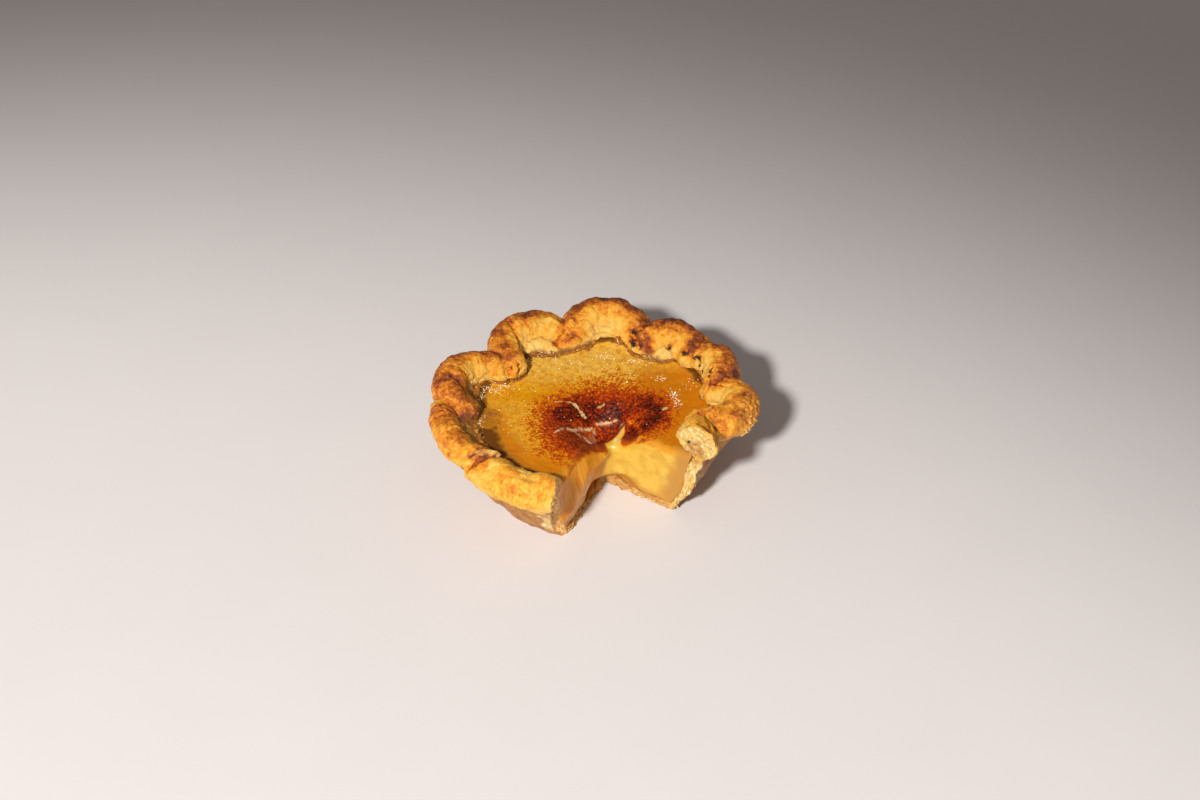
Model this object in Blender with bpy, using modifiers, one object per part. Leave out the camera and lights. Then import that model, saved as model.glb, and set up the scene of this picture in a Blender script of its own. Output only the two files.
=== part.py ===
"""Creme brulee pie with one slice cut out: fluted crust, baked custard and burnt-sugar top.

Metres, +Z up. The origin is on the ground under the middle of the pie's footprint, and the cut-out
slice faces -Y. Bearings are in degrees seen from above, 0 at the front (-Y) and 90 at the right (+X).
"""

import math

import bmesh
import bpy
from mathutils import Vector, noise

MM = 0.001

# Place of the pie's own axis, from the middle of its footprint.
AXIS_X = -2.1 * MM
AXIS_Y = -1.3 * MM

# Outer wall, bottom crust and filling.
FOOT_RADIUS = 46.0 * MM
WALL_RADIUS = 55.0 * MM
WALL_HEIGHT = 13.7 * MM
CRUST_BOTTOM = 3.3 * MM
CRUST_WALL = 4.8 * MM
FOOT_WALL_SHARE = 0.6
FILLING_TOP = 33.0 * MM
FILLING_RADIUS = 52.5 * MM
FILLING_FOLLOWS_RIM = 0.2
FILLING_OFFSET = 1.8 * MM
FILLING_OFFSET_BEARING = 40.0
SUGAR_THICKNESS = 1.3 * MM
GAP = 0.3 * MM
WELD = 0.01 * MM

# Solid core of the dough before the room for the filling is cut from it and the ground trims it.
CORE_INSET = 12.0 * MM
CORE_TOP = 11.0 * MM
CORE_BELOW_GROUND = 2.0 * MM
FOOT_BULGE = 0.6 * MM
FOOT_BULGE_HEIGHT = 0.8 * MM
WALL_FOLLOWS_RIM = 0.15
CORE_OVER_FILLING = 1.0 * MM

# Where the core passes through a roll, out and up from the roll's middle, in half thicknesses.
UNDER_ROLL = (0.35, -0.85)
ROLL_OUTSIDE = (0.0, 0.2)
ROLL_CROWN = (0.0, 0.5)
ROLL_INSIDE = (-0.55, 0.35)

# The slice cut out: the point where the two cuts meet and the bearing of each cut.
CUT_POINT_X = AXIS_X + 6.7 * MM
CUT_POINT_Y = AXIS_Y - 9.3 * MM
CUT_LEFT = -26.0
CUT_RIGHT = 57.6
CUT_LENGTH = 120.0 * MM
CUT_ROUNDING = 2.5 * MM
CUT_ROUNDING_MIDDLE = 0.35

# The filling rises a little at its edge.
EDGE_RISE = 1.6 * MM
EDGE_RISE_FROM = 0.8

# The filling sags towards the point of the cut and lifts off the bottom crust there.
SAG_DEPTH = 11.5 * MM
SAG_REACH = 23.0 * MM
LIFT_HEIGHT = 2.2 * MM
LIFT_REACH = 15.0 * MM

# The rim is a rope of dough rolls, clockwise from the left cut to the right one. Each roll swings
# out in a fold; its front end lies on the end of the roll before it.
# (bearing, reach from the axis to the roll's middle, height of its middle) at front end, fold, back end.
ROLLS = [
    ((-2.0, 57.5, 37.0), (-36.0, 61.8, 36.0), (-51.5, 62.0, 34.0)),
    ((-49.5, 55.5, 38.0), (-70.0, 64.8, 39.8), (-87.0, 64.0, 38.5)),
    ((-84.0, 53.0, 39.5), (-101.0, 63.8, 41.3), (-121.0, 48.0, 37.0)),
    ((-126.5, 44.8, 37.5), (-146.5, 59.6, 39.0), (-167.5, 48.5, 34.8)),
    ((-166.5, 48.0, 34.8), (-187.0, 60.0, 40.6), (-205.5, 50.0, 36.0)),
    ((-204.0, 49.8, 36.2), (-223.5, 60.4, 38.8), (-237.5, 53.5, 37.2)),
    ((-236.0, 54.0, 37.6), (-249.5, 62.8, 40.8), (-260.5, 53.0, 39.7)),
    ((-262.0, 57.5, 38.5), (-275.0, 66.6, 41.2), (-291.0, 51.5, 41.5)),
    ((-298.5, 53.5, 44.3), (-319.0, 60.5, 46.3), (-340.0, 58.0, 42.0)),
]
ROLL_HALF_THICKNESS = [7.7, 7.3, 8.0, 8.1, 8.6, 8.4, 8.3, 8.4, 9.3]
ROLL_ROUNDNESS = 2.1
ROLL_THICKER_IN_FOLD = 0.08
ROLL_STATIONS = 26
ROUND_END_ANGLES = (20.0, 40.0, 60.0, 78.0)
RIM_BLEND_BEARING = 6
RIM_TABLE_STATIONS = 240

# Mesh density and surface relief.
BEARING_STEP = 1.5
VOXEL = 1.15 * MM
CRUST_SMOOTHING = 2
CRUST_TRIANGLES = 7800
LUMP_HEIGHT = 0.55 * MM
LUMP_SIZE = 9.0 * MM
CRUMBLY_ROLL_BEARING = -283.0
CRUMBLY_REACH = 72.0 * MM
CRUMBLY_HEIGHT = 37.0 * MM
CRUMBLY_SPREAD = 17.0 * MM
CRUMB_HEIGHT = 2.2 * MM
CRUMB_SIZE = 2.6 * MM
NOISE_SEED = 4.7
FILLING_BEARING_STEP = 5.0
FILLING_RINGS = (0.0, 0.16, 0.32, 0.48, 0.64, 0.8, 0.92, 1.0)
FILLING_LEVELS = (0.35, 0.7)

CRUST_COLOUR = (0.62, 0.33, 0.09, 1.0)
CUSTARD_COLOUR = (0.80, 0.50, 0.11, 1.0)
CARAMEL_COLOUR = (0.42, 0.11, 0.01, 1.0)
CRUST_ROUGHNESS = 0.65
CUSTARD_ROUGHNESS = 0.35
CARAMEL_ROUGHNESS = 0.12


def smooth_step(value):
    """Ease from 0 to 1 as the value goes from 0 to 1."""
    value = min(max(value, 0.0), 1.0)
    return value * value * (3.0 - 2.0 * value)


def roll_at(index, place):
    """Bearing, reach, height and half thickness of a roll at a place from -1, its front end, to 1."""
    front, fold, back = ROLLS[index]
    end = front if place < 0.0 else back
    share = min(abs(place), 1.0) ** ROLL_ROUNDNESS
    bearing = fold[0] + (end[0] - fold[0]) * abs(place)
    reach = fold[1] + (end[1] - fold[1]) * share
    height = fold[2] + (end[2] - fold[2]) * share
    half = ROLL_HALF_THICKNESS[index] * (1.0 - ROLL_THICKER_IN_FOLD * share)
    return bearing, reach * MM, height * MM, half * MM


def rim_table():
    """Outermost reach, innermost reach, height and half thickness of the rolls at each whole degree."""
    found = {}
    for index in range(len(ROLLS)):
        for station in range(RIM_TABLE_STATIONS + 1):
            bearing, reach, height, half = roll_at(index, 2.0 * station / RIM_TABLE_STATIONS - 1.0)
            found.setdefault(round(bearing) % 360, []).append((reach, height, half))
    table = []
    last = found[max(found)]
    for degree in range(360):
        here = found.get(degree, last)
        outer = max(here)
        inner = min(here)
        table.append((outer[0], inner[0], (outer[1] + inner[1]) / 2, outer[2]))
        last = here
    return table


RIM_TABLE = rim_table()


def rim_at(bearing):
    """Outer reach, inner reach, height and half thickness of the rim at a bearing, evened out."""
    steps = range(-RIM_BLEND_BEARING, RIM_BLEND_BEARING + 1)
    near = [RIM_TABLE[round(bearing + step) % 360] for step in steps]
    return [sum(row[i] for row in near) / len(near) for i in range(4)]


MEAN_REACH = sum(row[0] for row in RIM_TABLE) / len(RIM_TABLE)


def on_bearing(bearing, radius, height):
    """Point at a bearing, a distance from the pie's axis and a height."""
    angle = math.radians(bearing)
    return Vector((AXIS_X + radius * math.sin(angle), AXIS_Y - radius * math.cos(angle), height))


def collection(name):
    """New collection in the scene."""
    made = bpy.data.collections.new(name)
    bpy.context.scene.collection.children.link(made)
    return made


def material(name, colour, roughness):
    """Plain Principled material."""
    made = bpy.data.materials.new(name)
    made.use_nodes = True
    shader = made.node_tree.nodes["Principled BSDF"]
    shader.inputs["Base Color"].default_value = colour
    shader.inputs["Roughness"].default_value = roughness
    shader.inputs["Metallic"].default_value = 0.0
    return made


def add_object(name, mesh, where):
    """New object in a collection."""
    made = bpy.data.objects.new(name, mesh)
    where.objects.link(made)
    return made


def baked(source):
    """Apply an object's modifiers and give it the resulting mesh."""
    graph = bpy.context.evaluated_depsgraph_get()
    graph.update()
    mesh = bpy.data.meshes.new_from_object(source.evaluated_get(graph))
    source.modifiers.clear()
    source.data = mesh
    return source


def boolean(target, tool, operation):
    """Cut or join with another object, then remove that object."""
    cut = target.modifiers.new("cut", "BOOLEAN")
    cut.operation = operation
    cut.solver = "EXACT"
    cut.object = tool
    baked(target)
    bpy.data.objects.remove(tool)
    return target


def lofted(name, sections, where):
    """Closed ring of like sections, each a loop of points from the bottom's middle to the top's middle.

    The quads are split along their short diagonal, so that surfaces a gap apart are split alike.
    """
    mesh = bpy.data.meshes.new(name)
    build = bmesh.new()
    loops = [[build.verts.new(point) for point in section] for section in sections]
    for index, loop in enumerate(loops):
        following = loops[(index + 1) % len(loops)]
        for low in range(len(loop) - 1):
            build.faces.new((loop[low], following[low], following[low + 1], loop[low + 1]))
    bmesh.ops.remove_doubles(build, verts=build.verts, dist=WELD)
    bmesh.ops.triangulate(build, faces=build.faces, quad_method="SHORT_EDGE")
    bmesh.ops.recalc_face_normals(build, faces=build.faces)
    build.to_mesh(mesh)
    build.free()
    return add_object(name, mesh, where)


def bearings(step):
    """Even bearings round the pie."""
    return [index * step for index in range(round(360.0 / step))]


def filling_edge(bearing):
    """Radius of the filling's top edge, drawn in a little where the rim is pinched."""
    swing = rim_at(bearing)[1] - MEAN_REACH
    drift = FILLING_OFFSET * math.cos(math.radians(bearing - FILLING_OFFSET_BEARING))
    return FILLING_RADIUS + FILLING_FOLLOWS_RIM * min(swing, 0.0) + drift


def filling_side(bearing, height):
    """Radius of the filling's side at a height."""
    foot = FOOT_RADIUS - CRUST_WALL * FOOT_WALL_SHARE
    low = WALL_RADIUS - CRUST_WALL
    if height < WALL_HEIGHT:
        return foot + (low - foot) * height / WALL_HEIGHT
    share = (height - WALL_HEIGHT) / (FILLING_TOP - WALL_HEIGHT)
    return low + (filling_edge(bearing) - low) * share


def filling_point(bearing, share, height, margin):
    """Point of the filling or its sugar, a share of the way out: risen at the edge, sunk near the cut."""
    point = on_bearing(bearing, (filling_side(bearing, height) + margin) * share, height)
    away = math.hypot(point.x - CUT_POINT_X, point.y - CUT_POINT_Y)
    part = smooth_step((height - CRUST_BOTTOM) / (FILLING_TOP - CRUST_BOTTOM))
    rise = EDGE_RISE * smooth_step((share - EDGE_RISE_FROM) / (1.0 - EDGE_RISE_FROM))
    sag = SAG_DEPTH * (1.0 - smooth_step(away / SAG_REACH))
    lift = LIFT_HEIGHT * (1.0 - smooth_step(away / LIFT_REACH))
    point.z += (rise - sag) * part + lift * (1.0 - part)
    return point


def filling_body(name, low, high, margin, where):
    """Body between two heights, as wide as the filling and a margin more."""
    sections = []
    for bearing in bearings(FILLING_BEARING_STEP):
        under = [filling_point(bearing, share, low, margin) for share in FILLING_RINGS]
        over = [filling_point(bearing, share, high, margin) for share in reversed(FILLING_RINGS)]
        levels = [low + (high - low) * share for share in FILLING_LEVELS]
        middle = [filling_point(bearing, 1.0, level, margin) for level in levels]
        sections.append(under + middle + over)
    return lofted(name, sections, where)


def wall_section(bearing):
    """Section of the crust under the rolls at a bearing, from the bottom's middle out, up and back in."""
    outer, inner, height, half = rim_at(bearing)
    swing = outer - MEAN_REACH
    edge = filling_edge(bearing)
    round_the_roll = [
        on_bearing(bearing, reach + out * half, height + up * half)
        for reach, (out, up) in (
            (outer, UNDER_ROLL),
            (outer, ROLL_OUTSIDE),
            (inner, ROLL_CROWN),
            (inner, ROLL_INSIDE),
        )
    ]
    return [
        on_bearing(bearing, 0.0, -CORE_BELOW_GROUND),
        on_bearing(bearing, FOOT_RADIUS, -CORE_BELOW_GROUND),
        on_bearing(bearing, FOOT_RADIUS + FOOT_BULGE, FOOT_BULGE_HEIGHT),
        on_bearing(bearing, WALL_RADIUS + WALL_FOLLOWS_RIM * swing, WALL_HEIGHT),
        *round_the_roll,
        on_bearing(bearing, edge, FILLING_TOP + CORE_OVER_FILLING),
        on_bearing(bearing, edge - CORE_INSET, CORE_TOP),
        on_bearing(bearing, 0.0, CORE_TOP),
    ]


def rounded_off(points, halves):
    """Path of a tube carried on past its last point with a round end."""
    tip = points[-1]
    along = (points[-1] - points[-2]).normalized()
    half = halves[-1]
    ends = [math.radians(angle) for angle in ROUND_END_ANGLES]
    more_points = [tip + along * half * math.sin(angle) for angle in ends]
    more_halves = [half * math.cos(angle) for angle in ends]
    return points + more_points, halves + more_halves


def roll(index, where):
    """One roll of the rim: a tube along its fold with round ends."""
    path = [roll_at(index, 2.0 * station / ROLL_STATIONS - 1.0) for station in range(ROLL_STATIONS + 1)]
    points = [on_bearing(bearing, reach, height) for bearing, reach, height, half in path]
    halves = [half for bearing, reach, height, half in path]
    points, halves = rounded_off(points, halves)
    points, halves = rounded_off(points[::-1], halves[::-1])
    curve = bpy.data.curves.new("roll", "CURVE")
    curve.dimensions = "3D"
    curve.bevel_depth = 1.0
    curve.bevel_resolution = 4
    curve.use_fill_caps = True
    spline = curve.splines.new("POLY")
    spline.points.add(len(points) - 1)
    for point, place, half in zip(spline.points, points, halves):
        point.co = (*place, 1.0)
        point.radius = half
    return mesh_from(add_object("roll_%d" % index, curve, where), where)


def mesh_from(curve_object, where):
    """Mesh object made from a curve object, with its caps welded, in the curve's place."""
    graph = bpy.context.evaluated_depsgraph_get()
    graph.update()
    mesh = bpy.data.meshes.new_from_object(curve_object.evaluated_get(graph))
    build = bmesh.new()
    build.from_mesh(mesh)
    bmesh.ops.remove_doubles(build, verts=build.verts, dist=WELD)
    build.to_mesh(mesh)
    build.free()
    made = add_object(curve_object.name + "_mesh", mesh, where)
    made.matrix_world = curve_object.matrix_world
    bpy.data.objects.remove(curve_object)
    return made


def relief(point):
    """Height of the dough's soft lumps at a point, and of the crumbs on the fold that broke."""
    lumps = LUMP_HEIGHT * noise.noise(point / LUMP_SIZE + Vector((NOISE_SEED, 0.0, 0.0)))
    bearing = CRUMBLY_ROLL_BEARING
    broken = on_bearing(bearing, CRUMBLY_REACH, CRUMBLY_HEIGHT)
    near = 1.0 - smooth_step((point - broken).length / CRUMBLY_SPREAD)
    crumbs = CRUMB_HEIGHT * noise.noise(point / CRUMB_SIZE + Vector((0.0, NOISE_SEED, 0.0)))
    return lumps + near * crumbs


def join_dough(pieces, where):
    """One soft body out of the wall and the rolls, with the dough's lumps on it."""
    build = bmesh.new()
    for piece in pieces:
        build.from_mesh(piece.data)
        bpy.data.objects.remove(piece)
    mesh = bpy.data.meshes.new("crust")
    build.to_mesh(mesh)
    build.free()
    crust = add_object("crust", mesh, where)
    remesh = crust.modifiers.new("dough", "REMESH")
    remesh.mode = "VOXEL"
    remesh.voxel_size = VOXEL
    soften = crust.modifiers.new("soften", "SMOOTH")
    soften.factor = 0.5
    soften.iterations = CRUST_SMOOTHING
    baked(crust)
    moved = [vertex.co + vertex.normal * relief(vertex.co) for vertex in crust.data.vertices]
    for vertex, place in zip(crust.data.vertices, moved):
        vertex.co = place
    thin = crust.modifiers.new("thin", "DECIMATE")
    thin.ratio = CRUST_TRIANGLES / (2 * len(crust.data.polygons))
    return baked(crust)


def slice_cutter(where):
    """Upright prism of the slice cut out, with a slightly rounded point."""
    point = Vector((CUT_POINT_X, CUT_POINT_Y, 0.0))
    left = on_direction(CUT_LEFT)
    right = on_direction(CUT_RIGHT)
    middle = (left + right).normalized()
    outline = [
        point + left * CUT_LENGTH,
        point + left * CUT_ROUNDING,
        point + middle * CUT_ROUNDING * CUT_ROUNDING_MIDDLE,
        point + right * CUT_ROUNDING,
        point + right * CUT_LENGTH,
    ]
    mesh = bpy.data.meshes.new("slice")
    build = bmesh.new()
    face = build.faces.new([build.verts.new(corner - Vector((0.0, 0.0, CUT_LENGTH))) for corner in outline])
    raised = bmesh.ops.extrude_face_region(build, geom=[face])
    upper = [item for item in raised["geom"] if isinstance(item, bmesh.types.BMVert)]
    bmesh.ops.translate(build, verts=upper, vec=(0.0, 0.0, 2.0 * CUT_LENGTH))
    bmesh.ops.recalc_face_normals(build, faces=build.faces)
    build.to_mesh(mesh)
    build.free()
    cutter = add_object("slice", mesh, where)
    cutter.hide_render = True
    cutter.display_type = "WIRE"
    return cutter


def on_direction(bearing):
    """Level unit vector at a bearing."""
    angle = math.radians(bearing)
    return Vector((math.sin(angle), -math.cos(angle), 0.0))


def ground_cutter(where):
    """Block below the ground, which flattens the bottom crust."""
    build = bmesh.new()
    bmesh.ops.create_cube(build, size=2.0 * CUT_LENGTH)
    bmesh.ops.translate(build, verts=build.verts, vec=(0.0, 0.0, -CUT_LENGTH))
    mesh = bpy.data.meshes.new("ground")
    build.to_mesh(mesh)
    build.free()
    cutter = add_object("ground", mesh, where)
    cutter.hide_render = True
    cutter.display_type = "WIRE"
    return cutter


def main():
    for old in list(bpy.data.objects):
        bpy.data.objects.remove(old)
    pie = collection("creme_brulee_pie")
    cutters = collection("cutters")

    wall = lofted("wall", [wall_section(bearing) for bearing in bearings(BEARING_STEP)], cutters)
    rolls = [roll(index, cutters) for index in range(len(ROLLS))]
    crust = join_dough([wall] + rolls, pie)
    sugar_low = FILLING_TOP + GAP
    sugar_high = sugar_low + SUGAR_THICKNESS
    room = filling_body("room", CRUST_BOTTOM, sugar_high + GAP, GAP, cutters)
    boolean(crust, room, "DIFFERENCE")
    boolean(crust, ground_cutter(cutters), "DIFFERENCE")
    boolean(crust, slice_cutter(cutters), "DIFFERENCE")

    custard = filling_body("custard", CRUST_BOTTOM + GAP, FILLING_TOP, 0.0, pie)
    boolean(custard, slice_cutter(cutters), "DIFFERENCE")
    caramel = filling_body("caramel", sugar_low, sugar_high, 0.0, pie)
    boolean(caramel, slice_cutter(cutters), "DIFFERENCE")

    looks = [
        (crust, CRUST_COLOUR, CRUST_ROUGHNESS),
        (custard, CUSTARD_COLOUR, CUSTARD_ROUGHNESS),
        (caramel, CARAMEL_COLOUR, CARAMEL_ROUGHNESS),
    ]
    for piece, colour, roughness in looks:
        piece.data.materials.clear()
        piece.data.materials.append(material(piece.name, colour, roughness))


main()
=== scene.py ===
"""Creme brulee pie with one slice cut out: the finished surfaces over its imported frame.

Metres, +Z up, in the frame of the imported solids. Bearings are in degrees seen from above, 0 at the
front (-Y) and 90 at the right (+X). The rolls of the rim, the wall and the filling repeat the sizes
of the solids that they stand for.
"""

import itertools
import math

import bmesh
import bpy
import numpy as np
from bpy.props import FloatProperty, FloatVectorProperty, IntProperty, PointerProperty
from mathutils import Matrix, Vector
from mathutils.bvhtree import BVHTree
from mathutils.kdtree import KDTree


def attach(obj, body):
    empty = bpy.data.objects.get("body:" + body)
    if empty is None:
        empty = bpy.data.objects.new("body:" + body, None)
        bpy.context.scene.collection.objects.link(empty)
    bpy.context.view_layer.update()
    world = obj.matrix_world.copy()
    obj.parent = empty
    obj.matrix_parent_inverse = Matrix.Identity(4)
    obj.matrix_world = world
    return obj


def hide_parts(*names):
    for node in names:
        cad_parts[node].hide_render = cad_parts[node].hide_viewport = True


bl_info = {
    "name": "Creme brulee pie",
    "version": (1, 0, 0),
    "blender": (4, 5, 0),
    "location": "3D View > Sidebar > Pie",
    "description": "Makes a creme brulee pie with one slice cut out",
    "category": "Object",
}

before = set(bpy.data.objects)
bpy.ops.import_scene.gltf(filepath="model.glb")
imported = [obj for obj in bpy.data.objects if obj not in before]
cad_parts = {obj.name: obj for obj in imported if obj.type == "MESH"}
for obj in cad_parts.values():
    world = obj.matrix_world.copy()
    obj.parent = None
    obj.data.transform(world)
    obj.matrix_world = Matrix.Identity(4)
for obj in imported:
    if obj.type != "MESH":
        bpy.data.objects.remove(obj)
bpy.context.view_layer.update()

MM = 0.001

# Place of the pie's own axis, from the middle of its footprint.
AXIS = Vector((-2.1 * MM, -1.3 * MM, 0.0))

# Outer wall, bottom crust and filling.
FOOT_RADIUS = 46.0 * MM
WALL_RADIUS = 55.0 * MM
WALL_HEIGHT = 13.7 * MM
CRUST_BOTTOM = 3.3 * MM
CRUST_WALL = 4.8 * MM
FOOT_WALL_SHARE = 0.6
FILLING_TOP = 33.0 * MM
FILLING_RADIUS = 52.5 * MM
FILLING_FOLLOWS_RIM = 0.2
FILLING_OFFSET = 1.8 * MM
FILLING_OFFSET_BEARING = 40.0
SUGAR_THICKNESS = 1.3 * MM
GAP = 0.3 * MM
WELD = 0.01 * MM
TINY = 1e-9
SUGAR_TOP = FILLING_TOP + GAP + SUGAR_THICKNESS

# Rings, levels and steps in bearing of the bodies with the filling's form.
FILLING_RINGS = (0.0, 0.16, 0.32, 0.48, 0.64, 0.8, 0.92, 1.0)
FILLING_LEVELS = (0.35, 0.7)
FILLING_STEP = 3.0

# Solid core of the dough before the room for the filling is cut from it and the ground trims it.
CORE_INSET = 12.0 * MM
CORE_TOP = 11.0 * MM
CORE_BELOW_GROUND = 2.0 * MM
FOOT_BULGE = 0.6 * MM
FOOT_BULGE_HEIGHT = 0.8 * MM
WALL_FOLLOWS_RIM = 0.15
CORE_OVER_FILLING = 1.0 * MM

# Where the core passes through a roll, out and up from the roll's middle, in half thicknesses.
UNDER_ROLL = (0.35, -0.85)
ROLL_OUTSIDE = (0.0, 0.2)
ROLL_CROWN = (0.0, 0.5)
ROLL_INSIDE = (-0.55, 0.35)

# The slice cut out: the point where the two cuts meet and the bearing of each cut.
CUT_POINT = AXIS + Vector((6.7 * MM, -9.3 * MM, 0.0))
CUT_LEFT = -26.0
CUT_RIGHT = 57.6
CUT_LENGTH = 120.0 * MM
CUT_ROUNDING = 2.5 * MM
CUT_ROUNDING_MIDDLE = 0.35

# The filling rises a little at its edge, sags towards the point of the cut and lifts off the
# bottom crust there.
EDGE_RISE = 1.6 * MM
EDGE_RISE_FROM = 0.8
SAG_DEPTH = 11.5 * MM
SAG_REACH = 23.0 * MM
LIFT_HEIGHT = 2.2 * MM
LIFT_REACH = 15.0 * MM

# The rim is a rope of dough rolls, clockwise from the left cut to the right one. Each roll swings
# out in a fold; its front end lies on the end of the roll before it.
# (bearing, reach from the axis to the roll's middle, height of its middle) at front end, fold, back end.
ROLLS = [
    ((-2.0, 56.0, 38.2), (-36.0, 61.0, 36.6), (-52.5, 60.6, 34.2)),
    ((-48.5, 58.4, 37.2), (-70.0, 65.5, 39.6), (-87.0, 64.6, 38.5)),
    ((-84.0, 56.0, 37.6), (-101.0, 63.8, 41.3), (-121.0, 48.0, 37.0)),
    ((-126.5, 44.8, 37.5), (-146.5, 59.6, 39.0), (-169.5, 48.8, 34.2)),
    ((-168.0, 48.6, 34.4), (-187.0, 60.0, 40.6), (-208.5, 50.0, 36.0)),
    ((-208.0, 50.8, 36.4), (-224.0, 60.4, 38.8), (-237.5, 58.0, 38.8)),
    ((-236.0, 57.4, 38.4), (-249.5, 62.8, 40.8), (-260.5, 58.2, 40.6)),
    ((-262.0, 57.5, 38.5), (-275.0, 66.6, 41.2), (-291.0, 51.5, 41.5)),
    ((-298.5, 53.5, 44.3), (-319.0, 60.5, 46.3), (-340.0, 58.0, 42.0)),
]
ROLL_HALF_THICKNESS = [8.2, 6.6, 8.0, 8.1, 8.6, 8.4, 8.3, 8.4, 9.3]
ROLL_ROUNDNESS = 2.1
ROLL_THICKER_IN_FOLD = 0.08
ROLL_STATIONS = 40
ROUND_END_ANGLES = (20.0, 40.0, 60.0, 78.0)
RIM_BLEND_BEARING = 6
RIM_TABLE_STATIONS = 240

# How browned each roll is, from 0 to 1.
ROLL_TOAST = [0.15, 0.29, 0.44, 0.42, 0.44, 0.53, 0.38, 0.33, 0.22]

# How much more or less browned the dough is on the outside of the rolls, on their tops, in patches, on
# the wall, on the lip and at the broken end, and how much painted shade darkens the lines between rolls
# and the hollow under the lip.
OUTSIDE_TOAST = 0.46
OUTSIDE_MIDDLE = 0.60
OUTSIDE_TURN = 50.0
TOP_TOAST = 0.12
PATCH_TOAST = 0.20
WALL_TOAST = 0.12
ROLL_LINE_SHADE = 0.14
HOLLOW_SHADE = 0.34
LIP_TOAST = -0.40
LAST_ROLL_TOAST = 0.04
CRUMBLY_TOAST = 0.06

# Bearings where the inner sides of the rolls lie in the shade, with painted shade that darkens them there.
SHADED_BEARING = -62.0
SHADED_SPREAD = 32.0
SHADED_FADE = 12.0
PAINTED_SHADE_STRENGTH = 1.5


def eased(value):
    """Ease from 0 to 1 as the value goes from 0 to 1, on numbers or arrays."""
    value = np.clip(value, 0.0, 1.0)
    return value * value * (3.0 - 2.0 * value)


def rising(value, start, width):
    """Ease from 0 to 1 as the value goes from a start over a width."""
    return eased((value - start) / width)


def falling(value, start, width):
    """Ease from 1 to 0 as the value goes from a start over a width."""
    return 1.0 - eased((value - start) / width)


def bump_at(distance, width):
    """Soft bump of height 1 at distance 0, gone at about two widths."""
    return np.exp(-((distance / width) ** 2))


def line_distance(places, line):
    """Distance in mm of places, level or in space, from a line of points in mm."""
    best = np.full(len(places), 1e3)
    for first, second in zip(line, line[1:]):
        start = np.array(first)
        run = np.array(second) - start
        share = np.clip(((places - start) @ run) / run.dot(run), 0.0, 1.0)
        away = np.linalg.norm(places - start - share[:, None] * run, axis=1)
        best = np.minimum(best, away)
    return best


def read_off(values, table):
    """Second number of a table's rows at values of the first one, joined evenly."""
    return np.interp(values, *zip(*table))


def distance_from(points, place):
    """Distance of points from a place."""
    return np.linalg.norm(points - np.array(place), axis=1)


def round_axis(points):
    """Level distance of points from the pie's axis, and their bearings."""
    flat = points[:, :2] - np.array(AXIS)[:2]
    return np.hypot(flat[:, 0], flat[:, 1]), np.degrees(np.arctan2(flat[:, 0], -flat[:, 1]))


def lattice_noise(points, size, seed):
    """Smooth noise from about -1 to 1 at an array of points, with cells of a size."""
    draw = np.random.default_rng(seed)
    table = draw.permutation(256)
    slopes = draw.normal(size=(256, 3))
    slopes /= np.linalg.norm(slopes, axis=1)[:, None]
    scaled = points / size
    cell = np.floor(scaled).astype(int)
    part = scaled - cell
    ease = part**3 * (part * (part * 6.0 - 15.0) + 10.0)
    total = np.zeros(len(points))
    for corner in itertools.product((0, 1), repeat=3):
        at = (cell + corner) & 255
        key = table[(table[(table[at[:, 0]] + at[:, 1]) & 255] + at[:, 2]) & 255]
        slope = np.einsum("ij,ij->i", slopes[key], part - corner)
        weight = np.prod(np.where(np.array(corner, bool), ease, 1.0 - ease), axis=1)
        total += slope * weight
    return total * 1.7


def layered_noise(points, size, seed, layers=3):
    """Noise with finer and fainter layers on top."""
    total = np.zeros(len(points))
    for layer in range(layers):
        total += lattice_noise(points, size / 2.0**layer, seed + layer) / 2.0**layer
    return total


def weighted(weights, patterns):
    """Sum of patterns, each times its weight."""
    return sum(weight * pattern for weight, pattern in zip(weights, patterns))


def roll_at(index, place):
    """Bearing, reach, height and half thickness of a roll at a place from -1, its front end, to 1."""
    front, fold, back = ROLLS[index]
    end = front if place < 0.0 else back
    share = min(abs(place), 1.0) ** ROLL_ROUNDNESS
    bearing = fold[0] + (end[0] - fold[0]) * abs(place)
    reach = fold[1] + (end[1] - fold[1]) * share
    height = fold[2] + (end[2] - fold[2]) * share
    half = ROLL_HALF_THICKNESS[index] * (1.0 - ROLL_THICKER_IN_FOLD * share)
    return bearing, reach * MM, height * MM, half * MM


def rim_table():
    """Outermost reach, innermost reach, height and half thickness of the rolls at each whole degree."""
    found = {}
    for index in range(len(ROLLS)):
        for station in range(RIM_TABLE_STATIONS + 1):
            bearing, reach, height, half = roll_at(index, 2.0 * station / RIM_TABLE_STATIONS - 1.0)
            found.setdefault(round(bearing) % 360, []).append((reach, height, half))
    table = []
    last = found[max(found)]
    for degree in range(360):
        here = found.get(degree, last)
        outer = max(here)
        inner = min(here)
        table.append((outer[0], inner[0], (outer[1] + inner[1]) / 2, outer[2]))
        last = here
    return table


RIM_TABLE = rim_table()


def rim_at(bearing):
    """Outer reach, inner reach, height and half thickness of the rim at a bearing, evened out."""
    steps = range(-RIM_BLEND_BEARING, RIM_BLEND_BEARING + 1)
    near = [RIM_TABLE[round(bearing + step) % 360] for step in steps]
    return [sum(row[i] for row in near) / len(near) for i in range(4)]


MEAN_REACH = sum(row[0] for row in RIM_TABLE) / len(RIM_TABLE)


def on_direction(bearing):
    """Level unit vector at a bearing."""
    angle = math.radians(bearing)
    return Vector((math.sin(angle), -math.cos(angle), 0.0))


def on_bearing(bearing, radius, height):
    """Point at a bearing, a distance from the pie's axis and a height."""
    return AXIS + on_direction(bearing) * radius + Vector((0.0, 0.0, height))


def bearings(step):
    """Even bearings round the pie."""
    return [index * step for index in range(round(360.0 / step))]


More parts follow.
